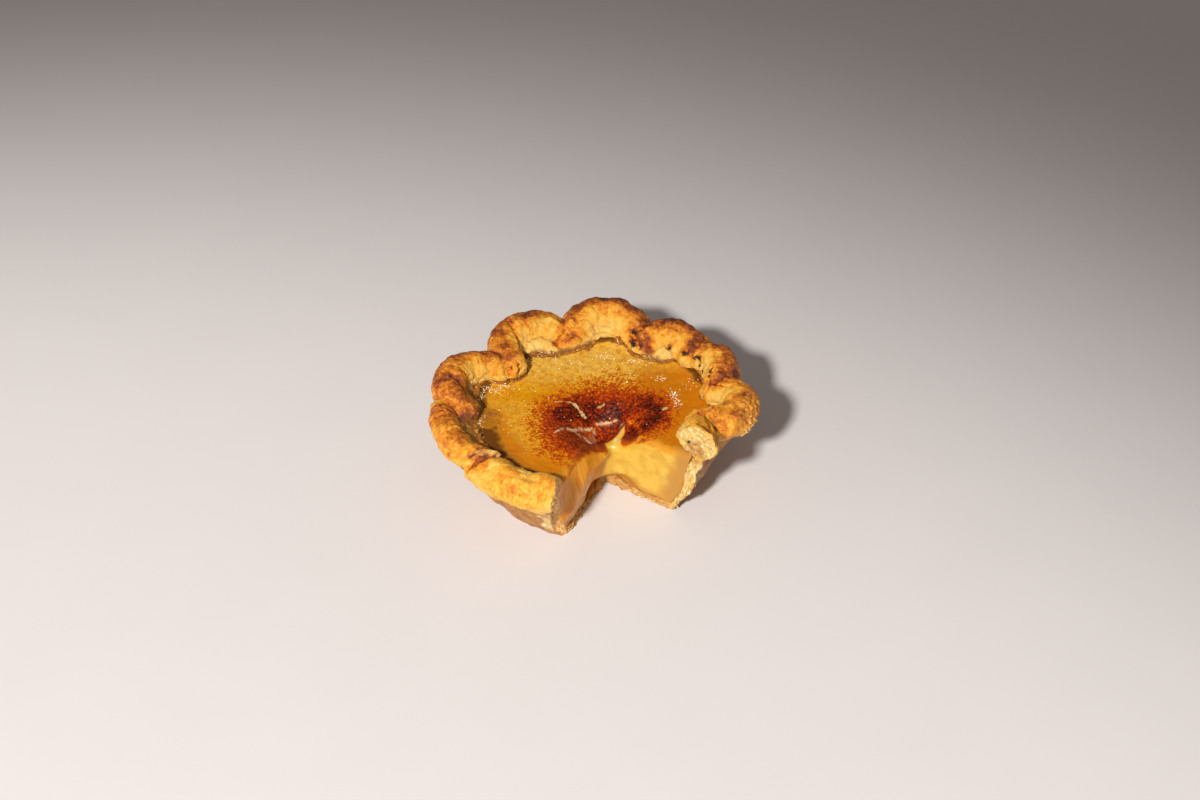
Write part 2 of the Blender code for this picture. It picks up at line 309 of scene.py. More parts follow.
def filling_edge(bearing):
    """Radius of the filling's top edge, drawn in a little where the rim is pinched."""
    swing = rim_at(bearing)[1] - MEAN_REACH
    drift = FILLING_OFFSET * math.cos(math.radians(bearing - FILLING_OFFSET_BEARING))
    return FILLING_RADIUS + FILLING_FOLLOWS_RIM * min(swing, 0.0) + drift


def filling_side(bearing, height):
    """Radius of the filling's side at a height."""
    foot = FOOT_RADIUS - CRUST_WALL * FOOT_WALL_SHARE
    low = WALL_RADIUS - CRUST_WALL
    if height < WALL_HEIGHT:
        return foot + (low - foot) * height / WALL_HEIGHT
    share = (height - WALL_HEIGHT) / (FILLING_TOP - WALL_HEIGHT)
    return low + (filling_edge(bearing) - low) * share


def edge_rise(share):
    """Rise of the filling at a share of the way out to its edge."""
    return EDGE_RISE * rising(share, EDGE_RISE_FROM, 1.0 - EDGE_RISE_FROM)


def sag_at(away):
    """Sag of the filling at a distance from the point of the cut."""
    return SAG_DEPTH * (1.0 - eased(away / SAG_REACH))


def filling_point(bearing, share, height, margin):
    """Point of the filling or its sugar, a share of the way out: risen at the edge, sunk near the cut."""
    point = on_bearing(bearing, (filling_side(bearing, height) + margin) * share, height)
    away = math.hypot(point.x - CUT_POINT.x, point.y - CUT_POINT.y)
    part = rising(height, CRUST_BOTTOM, FILLING_TOP - CRUST_BOTTOM)
    lift = LIFT_HEIGHT * (1.0 - eased(away / LIFT_REACH))
    point.z += (edge_rise(share) - sag_at(away)) * part + lift * (1.0 - part)
    return point


def pieces_collection():
    """Collection that holds the finished pieces."""
    name = "creme_brulee_pie_dressed"
    made = bpy.data.collections.get(name)
    if made is None:
        made = bpy.data.collections.new(name)
        bpy.context.scene.collection.children.link(made)
    return made


def add_object(name, mesh):
    """New object among the finished pieces."""
    made = bpy.data.objects.new(name, mesh)
    pieces_collection().objects.link(made)
    return made


def object_of(name, build):
    """New object with the mesh that was built."""
    mesh = bpy.data.meshes.new(name)
    build.to_mesh(mesh)
    build.free()
    return add_object(name, mesh)


def mesh_of(name, points, faces):
    """Object with a mesh of points and faces."""
    mesh = bpy.data.meshes.new(name)
    mesh.from_pydata([tuple(point) for point in points], [], faces)
    mesh.update()
    return add_object(name, mesh)


def result_of(source):
    """Mesh that an object's curve or modifiers make."""
    graph = bpy.context.evaluated_depsgraph_get()
    graph.update()
    return bpy.data.meshes.new_from_object(source.evaluated_get(graph))


def baked(source):
    """Apply an object's modifiers and give it the resulting mesh."""
    mesh = result_of(source)
    source.modifiers.clear()
    source.data = mesh


def boolean(target, tool):
    """Cut another object away, then remove that object."""
    cut = target.modifiers.new("cut", "BOOLEAN")
    cut.operation = "DIFFERENCE"
    cut.solver = "MANIFOLD"
    cut.object = tool
    baked(target)
    bpy.data.objects.remove(tool)


def remeshed(target, voxel, smoothing):
    """Even out a body to voxels of a size, softened a little."""
    remesh = target.modifiers.new("even", "REMESH")
    remesh.mode = "VOXEL"
    remesh.voxel_size = voxel
    soften = target.modifiers.new("soften", "SMOOTH")
    soften.factor = 0.5
    soften.iterations = smoothing
    baked(target)
    return target


def thinned(target, triangles):
    """Bring a body down to about a number of triangles, keeping its detail."""
    target.data.calc_loop_triangles()
    share = triangles / len(target.data.loop_triangles)
    if share < 1.0:
        thin = target.modifiers.new("thin", "DECIMATE")
        thin.ratio = share
        baked(target)


def vertex_arrays(mesh):
    """Positions and normals of a mesh's vertices."""
    count = len(mesh.vertices)
    points = np.empty(count * 3)
    mesh.vertices.foreach_get("co", points)
    normals = np.empty(count * 3)
    mesh.vertices.foreach_get("normal", normals)
    return points.reshape(-1, 3), normals.reshape(-1, 3)


def reshaped(piece, relief):
    """Move a piece's vertices to where its relief puts them."""
    piece.data.vertices.foreach_set("co", relief(*vertex_arrays(piece.data)).ravel())
    piece.data.update()


def paint(mesh, name, values):
    """Store one number or one vector for each vertex, for the material to read."""
    kind = "FLOAT" if values.ndim == 1 else "FLOAT_VECTOR"
    layer = mesh.attributes.new(name, kind, "POINT")
    layer.data.foreach_set("value" if kind == "FLOAT" else "vector", values.astype(np.float32).ravel())


def finished(piece, material, nodes=()):
    """Shade a piece smooth, give it its material, and tie it to the frame."""
    piece.data.shade_smooth()
    piece.data.materials.clear()
    piece.data.materials.append(material)
    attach(piece, "root")
    if nodes:
        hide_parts(*nodes)


def lofted(name, sections):
    """Closed ring of like sections, each a loop of points from the bottom's middle to the top's middle."""
    build = bmesh.new()
    loops = [[build.verts.new(point) for point in section] for section in sections]
    for index, loop in enumerate(loops):
        following = loops[(index + 1) % len(loops)]
        for low in range(len(loop) - 1):
            build.faces.new((loop[low], following[low], following[low + 1], loop[low + 1]))
    bmesh.ops.remove_doubles(build, verts=build.verts, dist=WELD)
    bmesh.ops.triangulate(build, faces=build.faces, quad_method="SHORT_EDGE")
    bmesh.ops.recalc_face_normals(build, faces=build.faces)
    return object_of(name, build)


def prism(name, outline):
    """Upright prism on a level outline, far below and above the pie."""
    build = bmesh.new()
    face = build.faces.new([build.verts.new(corner - Vector((0.0, 0.0, CUT_LENGTH))) for corner in outline])
    raised = bmesh.ops.extrude_face_region(build, geom=[face])
    upper = [item for item in raised["geom"] if isinstance(item, bmesh.types.BMVert)]
    bmesh.ops.translate(build, verts=upper, vec=(0.0, 0.0, 2.0 * CUT_LENGTH))
    bmesh.ops.recalc_face_normals(build, faces=build.faces)
    return object_of(name, build)


def slice_cutter():
    """Cutter for the slice through the dough, with a slightly rounded point."""
    left = on_direction(CUT_LEFT)
    right = on_direction(CUT_RIGHT)
    middle = (left + right).normalized()
    outline = [
        CUT_POINT + left * CUT_LENGTH,
        CUT_POINT + left * CUT_ROUNDING,
        CUT_POINT + middle * CUT_ROUNDING * CUT_ROUNDING_MIDDLE,
        CUT_POINT + right * CUT_ROUNDING,
        CUT_POINT + right * CUT_LENGTH,
    ]
    return prism("slice", outline)


def ground_cutter():
    """Block below the ground, which flattens the bottom crust."""
    build = bmesh.new()
    bmesh.ops.create_cube(build, size=2.0 * CUT_LENGTH)
    bmesh.ops.translate(build, verts=build.verts, vec=(0.0, 0.0, -CUT_LENGTH))
    return object_of("ground", build)


class Recipe:
    """Node tree of one procedural material, written from its colours and patterns to its shader."""

    def __init__(self, name):
        self.material = bpy.data.materials.new(name)
        self.material.use_nodes = True
        self.tree = self.material.node_tree
        self.tree.nodes.clear()
        output = self.tree.nodes.new("ShaderNodeOutputMaterial")
        self.shader = self.tree.nodes.new("ShaderNodeBsdfPrincipled")
        self.tree.links.new(self.shader.outputs["BSDF"], output.inputs["Surface"])

    def put(self, value, socket):
        """Link a node's result to a socket, or set the socket to a plain value."""
        if isinstance(value, bpy.types.NodeSocket):
            self.tree.links.new(value, socket)
        else:
            socket.default_value = value

    def node(self, kind, output, inputs, **settings):
        """Result of a new node of a kind, with its settings and its inputs."""
        made = self.tree.nodes.new("ShaderNode" + kind)
        for name, value in settings.items():
            setattr(made, name, value)
        for name, value in inputs.items():
            self.put(value, made.inputs[name])
        return made.outputs[output]

    def painted(self, name, output="Fac"):
        """Number, or with the output Vector the vector, stored on the vertices."""
        return self.node("Attribute", output, {}, attribute_name=name)

    def place(self):
        """Position in the pie's own space, in metres."""
        return self.node("TexCoord", "Object", {})

    def scaled(self, vector, scale):
        """Vector multiplied by a scale along each axis."""
        return self.node("VectorMath", 0, {0: vector, 1: scale}, operation="MULTIPLY")

    def noise(self, vector, size, detail=3.0, roughness=0.55, distortion=0.0):
        """Noise from 0 to 1 with cells of a size."""
        inputs = {"Vector": vector, "Scale": 1.0 / size, "Detail": detail}
        inputs.update({"Roughness": roughness, "Distortion": distortion})
        return self.node("TexNoise", "Fac", inputs)

    def cells(self, vector, size):
        """Distance to the nearest of scattered points, for pores and bubbles."""
        return self.node("TexVoronoi", "Distance", {"Vector": vector, "Scale": 1.0 / size})

    def sum(self, first, second, factor=1.0):
        """First plus second times a factor."""
        return self.node("Math", 0, {0: second, 1: factor, 2: first}, operation="MULTIPLY_ADD")

    def varied(self, value, pattern, strength):
        """Value moved up and down by a pattern from 0 to 1."""
        return self.sum(value, self.sum(pattern, -0.5), strength)

    def product(self, first, second):
        """First times second."""
        return self.node("Math", 0, {0: first, 1: second}, operation="MULTIPLY")

    def stepped(self, value, low, high, start=0.0, end=1.0):
        """Eased step from start to end as the value goes from low to high."""
        inputs = {"Value": value, "From Min": low, "From Max": high, "To Min": start, "To Max": end}
        return self.node("MapRange", "Result", inputs, interpolation_type="SMOOTHSTEP")

    def ramp(self, value, stops):
        """Colour from a ramp of (place, colour) stops."""
        node = self.tree.nodes.new("ShaderNodeValToRGB")
        self.put(value, node.inputs["Fac"])
        marks = node.color_ramp.elements
        while len(marks) < len(stops):
            marks.new(0.5)
        for mark, (position, colour) in zip(marks, stops):
            mark.position = position
            mark.color = (*colour[:3], 1.0)
        return node.outputs["Color"]

    def mixed(self, factor, first, second, blend="MIX"):
        """Colour that goes from the first to the second."""
        inputs = {"Factor": factor}
        for name, colour in (("A", first), ("B", second)):
            inputs[name] = colour if isinstance(colour, bpy.types.NodeSocket) else (*colour[:3], 1.0)
        return self.node("Mix", "Result", inputs, data_type="RGBA", blend_type=blend)

    def coated(self, under, name, share, colour, blend="MIX"):
        """Colour with a share of another one over it, where the vertices are painted with a name."""
        return self.mixed(self.product(self.painted(name), share), under, colour, blend)

    def bump(self, height, strength, distance):
        """Normal from a height."""
        return self.node("Bump", "Normal", {"Strength": strength, "Distance": distance, "Height": height})

    def finish(self, **sockets):
        """Set or link the shader's sockets, named with _ for a space."""
        for name, value in sockets.items():
            self.put(value, self.shader.inputs[name.replace("_", " ")])
        return self.material


# Dough: density of its surface and the relief on it.
DOUGH_BLANK_VOXEL = 0.8 * MM
DOUGH_VOXEL = 0.5 * MM
DOUGH_TRIANGLES = 196000
CRUMBLY_PLACE = AXIS + on_direction(-279.5) * 72.0 * MM + Vector((0.0, 0.0, 41.5 * MM))
CRUMBLY_SPREAD = 13.5 * MM
FRONT_END_SWELL = 0.05

# Patterns on the dough: (cell size, seed, layers).
LUMPS = (9.0 * MM, 9, 2)
STREAKS = (1.9 * MM, 11, 1)
FOLDS = (5.0 * MM, 12, 1)
BLISTERS = (2.8 * MM, 13, 3)
FLAKES = (5.2 * MM, 17, 3)
WRINKLES = (3.4 * MM, 21, 2)
BROKEN_CRUMBS = (2.6 * MM, 31, 3)
DISC_LUMPS = (5.0 * MM, 35, 2)
CREASE_WANDER = (2.5 * MM, 45, 1)
TOAST_PATCHES = (11.0 * MM, 61, 3)

# Heights in mm of streaks, folds, blisters and flakes on the rolls and on the slope inside them, and of
# wrinkles, blisters and flakes on the wall.
LUMP_HEIGHT = 0.75
ROLL_RELIEF = (0.20, 0.42, 0.24, 0.24)
SLOPE_RELIEF = (0.42, 0.35, 0.20, 0.15)
WALL_RELIEF = (0.42, 0.16, 0.14)
BROKEN_RELIEF = 1.3
BROKEN_SINK = 0.2

# Depths in mm of the line between two rolls and of a burnt spot, and the open lip's height and hollow.
ROLL_LINE_DEPTH = 0.8
ROLL_LINE_WIDTH = 0.9 * MM
BURNT_DEPTH = 1.4
LIP_HEIGHT = 1.1
LIP_HOLLOW = 1.7

# Where the dough inside the rolls slopes down onto the filling: (bearing, radius in mm), joined evenly.
SLOPE_FOOT = [
    (-360.0, 57.0), (-246.0, 57.0), (-238.0, 53.0), (-231.0, 49.6), (-226.0, 45.6),
    (-220.0, 42.6), (-214.0, 41.4), (-206.0, 44.4), (-199.0, 47.0), (-193.0, 48.0),
    (-186.0, 47.0), (-181.0, 44.2), (-176.0, 41.4), (-168.0, 39.4), (-159.0, 39.2),
    (-152.0, 42.0), (-143.0, 45.6), (-136.0, 46.4), (-126.0, 50.0), (-112.0, 50.0),
    (-104.0, 51.5), (-96.0, 49.0), (-86.0, 46.8), (-78.0, 47.6), (-66.0, 50.0),
    (-50.0, 51.0), (-38.0, 53.0), (0.0, 57.0),
]

# Lumps that bridge two rolls: (bearing, reach, height, radius).
BRIDGES = [(-169.0, 52.0, 35.2, 7.4)]

# The front end of the second roll is an open lip, cut off level with the front of the pie.
LIP_ROLL = 1
LIP_PLACE = -41.0 * MM
LIP_LINE = [
    (-54.8, -41.0, 38.6), (-53.4, -41.3, 41.7), (-51.8, -41.0, 43.1), (-49.2, -40.2, 43.9),
    (-46.1, -39.1, 43.3), (-43.5, -38.9, 42.7), (-41.5, -38.3, 40.7),
]

# Creases in the dough: (line of points in mm, half width in mm, depth in mm, how dark). The darkness is
# partly burnt lines and partly painted shade in the creases.
CREASES = [
    (
        [(46.0, -19.5, 49.1), (49.4, -17.8, 48.7), (55.9, -14.0, 48.4), (58.3, -10.5, 48.4),
         (67.7, -6.2, 48.4)],
        0.9,
        1.5,
        0.40,
    ),
    (
        [(47.3, 1.5, 36.0), (48.0, 1.0, 42.6), (51.4, 4.2, 46.3), (58.8, 0.6, 47.5), (63.3, 0.1, 48.8)],
        0.9,
        1.4,
        0.45,
    ),
    ([(51.7, 12.5, 47.3), (50.5, 10.0, 47.2), (48.6, 6.2, 46.9)], 0.8, 1.4, 0.5),
    ([(60.5, 12.0, 49.0), (54.0, 8.0, 48.5), (50.0, 3.5, 46.0)], 0.8, 0.7, 0.15),
    ([(58.5, 18.0, 48.5), (53.0, 14.5, 48.0), (49.5, 13.0, 45.0)], 0.7, 0.7, 0.15),
    ([(40.4, 30.1, 44.8), (44.1, 30.3, 45.9), (49.6, 28.3, 47.9)], 0.9, 1.2, 0.30),
    ([(-40.2, 49.1, 45.9), (-36.9, 42.0, 46.0), (-34.3, 37.0, 42.2), (-33.3, 30.5, 40.9)], 1.2, 1.3, 0.20),
    ([(-63.3, 6.4, 48.9), (-59.1, 5.1, 46.6), (-56.0, 0.5, 45.1), (-53.1, -7.5, 46.4)], 1.1, 1.3, 0.25),
    ([(-71.7, -9.3, 42.4), (-68.5, -10.4, 45.6), (-65.1, -12.1, 46.5), (-60.0, -14.3, 44.5)], 0.7, 1.2, 0.35),
    ([(-7.0, 49.4, 45.4), (-7.9, 46.1, 43.2), (-10.2, 42.7, 41.7), (-14.0, 39.9, 39.7)], 1.3, 0.8, 0.12),
    ([(15.3, 43.1, 43.2), (18.1, 39.2, 41.6), (21.9, 37.4, 39.3)], 1.2, 1.0, 0.25),
    ([(32.2, 42.4, 44.2), (31.3, 39.6, 40.8), (30.9, 37.4, 37.1)], 0.8, 0.7, 0.10),
    ([(-47.0, 33.0, 47.0), (-41.0, 30.0, 47.5), (-36.0, 27.0, 46.0)], 0.8, 0.6, 0.12),
    ([(2.0, 52.0, 46.5), (2.5, 48.5, 43.5), (2.0, 45.5, 40.0)], 0.8, 0.6, 0.08),
    ([(8.5, 53.0, 46.5), (8.5, 49.0, 43.0), (8.0, 46.5, 39.5)], 0.8, 0.6, 0.08),
]

# The short end of the last roll behind the right cut: where its skin ends and how far it stands lower.
LAST_ROLL_SKIN = 2.0 * MM
LAST_ROLL_DROP = 1.9 * MM

# Cut end of the last roll: its middle, its soaked core and a small hole drawn only as painted shade, by
# reach and height on the right cut.
DISC_MIDDLE = (45.8 * MM, 45.6 * MM)
DISC_CORE = (46.4 * MM, 39.8 * MM)
DISC_CORE_HALF = (4.4 * MM, 5.6 * MM)
DISC_HOLE = (42.6 * MM, 44.4 * MM)
DISC_HOLE_RADIUS = 0.9
DISC_UNEVEN = 1.8

# How far the rim stands farther out of the left cut than the filling: at the inside, at the outside.
RIM_END_REACH = (43.0 * MM, 62.0 * MM)
RIM_END_SHIFT = (1.2 * MM, 4.4 * MM)
RIM_END_HEIGHT = 24.0 * MM
RIM_END_DEPTH = 9.0 * MM
WALL_BEVEL = 3.2 * MM

# Ragged layers of the cut dough: cell size, squeezed along and across the layers, and heights.
CUT_LAYER_CELLS = 1.6 * MM
ALONG_LAYERS = 0.45
ACROSS_LAYERS = 2.2
LAYER_HEIGHT = 0.60 * MM
RAGGED_HEIGHT = 0.45 * MM
CUT_LUMP_HEIGHT = 1.3 * MM
CUT_SEEDS = (51, 56)


def wall_section(bearing):
    """Section of the crust under the rolls at a bearing, from the bottom's middle out, up and back in."""
    outer, inner, height, half = rim_at(bearing)
    swing = outer - MEAN_REACH
    edge = filling_edge(bearing)
    round_the_roll = [
        on_bearing(bearing, reach + out * half, height + up * half)
        for reach, (out, up) in (
            (outer, UNDER_ROLL),
            (outer, ROLL_OUTSIDE),
            (inner, ROLL_CROWN),
            (inner, ROLL_INSIDE),
        )
    ]
    return [
        on_bearing(bearing, 0.0, -CORE_BELOW_GROUND),
        on_bearing(bearing, FOOT_RADIUS, -CORE_BELOW_GROUND),
        on_bearing(bearing, FOOT_RADIUS + FOOT_BULGE, FOOT_BULGE_HEIGHT),
        on_bearing(bearing, WALL_RADIUS + WALL_FOLLOWS_RIM * swing, WALL_HEIGHT),
        *round_the_roll,
        on_bearing(bearing, edge, FILLING_TOP + CORE_OVER_FILLING),
        on_bearing(bearing, edge - CORE_INSET, CORE_TOP),
        on_bearing(bearing, 0.0, CORE_TOP),
    ]


def slope_section(bearing):
    """Section, a closed loop, of the dough that slopes from the rolls down onto the filling."""
    outer, inner, height, half = rim_at(bearing)
    turn = bearing - 360.0 if bearing > 0.0 else bearing
    foot = float(read_off(turn, SLOPE_FOOT)) * MM
    low = (foot + 0.3 * MM, SUGAR_TOP + 1.0 * MM)
    high = (inner - 0.42 * half, height + 0.70 * half)
    middle = ((low[0] + high[0]) / 2.0 + 0.5 * MM, (low[1] + high[1]) / 2.0 - 0.5 * MM)
    corners = [
        (foot - 0.4 * MM, FILLING_TOP - 2.0 * MM),
        low,
        middle,
        high,
        (inner + 0.1 * half, height),
        (max(inner, foot + 2.0 * MM), FILLING_TOP - 2.0 * MM),
    ]
    return [on_bearing(bearing, reach, level) for reach, level in corners + corners[:1]]


def roll_stations(index):
    """Middles of a roll from its front end to its back end, and its half thickness at each."""
    points = []
    halves = []
    for station in range(ROLL_STATIONS + 1):
        place = 2.0 * station / ROLL_STATIONS - 1.0
        bearing, reach, height, half = roll_at(index, place)
        swell = 1.0 + FRONT_END_SWELL * rising(-place, 0.55, 0.35)
        points.append(on_bearing(bearing, reach, height))
        halves.append(half * swell)
    return points, halves


def rounded_off(points, halves):
    """Path of a tube carried on past its last point with a round end."""
    tip = points[-1]
    along = (points[-1] - points[-2]).normalized()
    half = halves[-1]
    ends = [math.radians(angle) for angle in ROUND_END_ANGLES]
    more_points = [tip + along * half * math.sin(angle) for angle in ends]
    more_halves = [half * math.cos(angle) for angle in ends]
    return points + more_points, halves + more_halves


def tube(name, points, halves, resolution=4):
    """Closed mesh tube through points, with a half thickness at each."""
    curve = bpy.data.curves.new(name, "CURVE")
    curve.dimensions = "3D"
    curve.bevel_depth = 1.0
    curve.bevel_resolution = resolution
    curve.use_fill_caps = True
    spline = curve.splines.new("POLY")
    spline.points.add(len(points) - 1)
    for point, place, half in zip(spline.points, points, halves):
        point.co = (*place, 1.0)
        point.radius = half
    source = add_object(name + "_path", curve)
    mesh = result_of(source)
    build = bmesh.new()
    build.from_mesh(mesh)
    bpy.data.objects.remove(source)
    bpy.data.meshes.remove(mesh)
    bmesh.ops.remove_doubles(build, verts=build.verts, dist=WELD)
    return object_of(name, build)


def ball(name, centre, radius):
    """Closed round lump."""
    build = bmesh.new()
    bmesh.ops.create_icosphere(build, subdivisions=3, radius=radius)
    bmesh.ops.translate(build, verts=build.verts, vec=centre)
    return object_of(name, build)


def cut_level(piece, place):
    """Cut off the part of a body in front of a place, and close it."""
    build = bmesh.new()
    build.from_mesh(piece.data)
    parts = build.verts[:] + build.edges[:] + build.faces[:]
    made = bmesh.ops.bisect_plane(
        build, geom=parts, plane_co=(0.0, place, 0.0), plane_no=(0.0, -1.0, 0.0), clear_outer=True
    )
    rim = [item for item in made["geom_cut"] if isinstance(item, bmesh.types.BMEdge)]
    bmesh.ops.edgenet_fill(build, edges=rim)
    build.to_mesh(piece.data)
    build.free()


def joined(name, pieces):
    """One object with the meshes of several, which are removed."""
    build = bmesh.new()
    for piece in pieces:
        build.from_mesh(piece.data)
        bpy.data.objects.remove(piece)
    return object_of(name, build)


def filling_body(name, low, high, margin):
    """Body between two heights, as wide as the filling and a margin more."""
    sections = []
    for bearing in bearings(FILLING_STEP):
        under = [filling_point(bearing, share, low, margin) for share in FILLING_RINGS]
        over = [filling_point(bearing, share, high, margin) for share in reversed(FILLING_RINGS)]
        heights = [low + (high - low) * share for share in FILLING_LEVELS]
        middle = [filling_point(bearing, 1.0, height, margin) for height in heights]
        sections.append(under + middle + over)
    return lofted(name, sections)


class CutFace:
    """One of the two flat cuts: how far points stand out of it into the gap, and how far along it."""

    def __init__(self, bearing, other):
        self.along = np.array(on_direction(bearing))
        across = np.array(on_direction(other))
        inward = across - self.along * self.along.dot(across)
        self.outward = inward / np.linalg.norm(inward)

    def stand_out(self, points):
        """Distance of points out of the cut, into the gap."""
        return (points - np.array(CUT_POINT)) @ self.outward

    def reach(self, points):
        """Distance of points along the cut, from the point where the cuts meet."""
        return (points - np.array(CUT_POINT)) @ self.along

    def share(self, points, normals, depth, ahead=0.0, back=0.0):
        """1 on the cut's face, which may stand ahead or lie back a little, and 0 at a depth behind it."""
        facing = rising(normals @ self.outward, 0.35, 0.4)
        stand = self.stand_out(points)
        away = np.maximum(np.maximum(stand - ahead, -stand - back), 0.0)
        near = falling(away, 0.25 * depth, depth)
        return facing * near * eased(self.reach(points) / (1.0 * MM) + 0.5)


LEFT_CUT = CutFace(CUT_LEFT, CUT_RIGHT)
RIGHT_CUT = CutFace(CUT_RIGHT, CUT_LEFT)


def roll_fields(points):
    """Where points lie on the rolls.

    Gives the nearest roll, the distance along it and round it, how far the point is from the roll's
    skin, how much farther the next roll's skin is, and how far the point faces out and up.
    """
    count = len(points)
    skin = np.full((len(ROLLS), count), 1.0)
    along = np.zeros((len(ROLLS), count))
    round_it = np.zeros((len(ROLLS), count))
    axis = np.array(AXIS)
    for index in range(len(ROLLS)):
        path, halves = roll_stations(index)
        dense = []
        for first, second, half, half_after in zip(path, path[1:], halves, halves[1:]):
            for share in (0.0, 0.25, 0.5, 0.75):
                dense.append((first.lerp(second, share), half + (half_after - half) * share))
        dense.append((path[-1], halves[-1]))
        middles = np.array([tuple(point) for point, half in dense])
        thick = np.array([half for point, half in dense])
        travel = np.concatenate([[0.0], np.cumsum(np.linalg.norm(np.diff(middles, axis=0), axis=1))])
        tree = KDTree(len(middles))
        for number, middle in enumerate(middles):
            tree.insert(middle, number)
        tree.balance()
        low = middles.min(axis=0) - 16.0 * MM
        high = middles.max(axis=0) + 16.0 * MM
        near = np.nonzero(np.all((points > low) & (points < high), axis=1))[0]
        found = np.array([tree.find(points[number])[1] for number in near])
        away = points[near] - middles[found]
        outward = middles[found] - axis
        outward[:, 2] = 0.0
        outward /= np.linalg.norm(outward, axis=1)[:, None]
        turn = np.gradient(middles, axis=0)[found]
        turn /= np.linalg.norm(turn, axis=1)[:, None]
        sideways = np.stack([turn[:, 1], -turn[:, 0], np.zeros(len(found))], axis=1)
        sideways /= np.linalg.norm(sideways, axis=1)[:, None]
        sideways *= np.where((sideways * outward).sum(axis=1) < 0.0, -1.0, 1.0)[:, None]
        skin[index, near] = np.linalg.norm(away, axis=1) - thick[found]
        along[index, near] = travel[found] + (away * turn).sum(axis=1)
        round_it[index, near] = np.arctan2(away[:, 2], (away * sideways).sum(axis=1))
    order = np.argsort(skin, axis=0)
    row = np.arange(count)
    nearest = order[0]
    return {
        "roll": nearest,
        "along": along[nearest, row],
        "turned": round_it[nearest, row],
        "skin": skin[nearest, row],
        "next": skin[order[1], row] - skin[nearest, row],
    }


# Small burnt spots in the folds: (place, half width).
BURNT_SPOTS = [
    ((16.9, 40.7, 42.4), 1.7), ((18.2, 38.5, 40.5), 1.8), ((19.6, 36.8, 39.0), 1.3),
    ((34.2, 35.9, 38.8), 1.0), ((40.2, 28.6, 44.4), 1.3), ((42.6, 26.7, 45.2), 1.3),
    ((44.6, 25.2, 45.3), 1.5), ((46.0, 22.4, 42.7), 1.6), ((45.0, 21.4, 41.0), 1.1),
    ((46.9, 20.1, 39.6), 1.0), ((51.8, 13.1, 47.3), 0.9), ((50.4, 10.0, 47.4), 1.0),
    ((48.7, 6.6, 46.9), 1.0), ((47.6, 3.0, 39.5), 0.9), ((47.1, 1.4, 36.6), 1.0),
    ((-38.5, 18.9, 41.3), 0.9), ((-34.1, 20.5, 41.6), 0.7), ((-33.6, 19.6, 39.4), 0.9),
]
BURNT_SEED = 41

# Reddish, almost burnt spots beside them.
SCORCHED_SEED = 42
SCORCHED_SPOTS = [
    ((21.3, 37.2, 39.5), 1.6), ((23.6, 37.2, 38.2), 1.5), ((34.2, 35.9, 40.6), 1.2),
    ((48.2, 23.0, 44.0), 1.5), ((44.2, 28.5, 45.5), 2.2),
]


def spots_at(points, spots, seed):
    """Height, from 0 to 1, of ragged spots at the points nearest to their places."""
    ragged = 1.0 + 0.55 * lattice_noise(points, 1.3 * MM, seed)
    total = np.zeros(len(points))
    for place, width in spots:
        nearest = points[distance_from(points, np.array(place) * MM).argmin()]
        away = distance_from(points, nearest)
        total = np.maximum(total, falling(away * ragged / (width * MM), 0.75, 0.4))
    return total


def dough_blank():
    """Crust without relief: wall, rolls and inner slope in one body, cut by filling, ground and slice."""
    pieces = [lofted("wall", [wall_section(bearing) for bearing in bearings(1.5)])]
    pieces.append(lofted("slope", [slope_section(bearing) for bearing in bearings(2.0)]))
    for index in range(len(ROLLS)):
        points, halves = rounded_off(*roll_stations(index))
        points, halves = rounded_off(points[::-1], halves[::-1])
        roll = tube("roll_%d" % index, points, halves)
        if index == LIP_ROLL:
            cut_level(roll, LIP_PLACE)
        pieces.append(roll)
    for bearing, reach, height, radius in BRIDGES:
        pieces.append(ball("bridge", on_bearing(bearing, reach * MM, height * MM), radius * MM))
    dough = remeshed(joined("pie_crust", pieces), DOUGH_BLANK_VOXEL, 1)
    for cutter in (filling_body("room", CRUST_BOTTOM, SUGAR_TOP + GAP, GAP), ground_cutter(), slice_cutter()):
        boolean(dough, cutter)
    return remeshed(dough, DOUGH_VOXEL, 1)


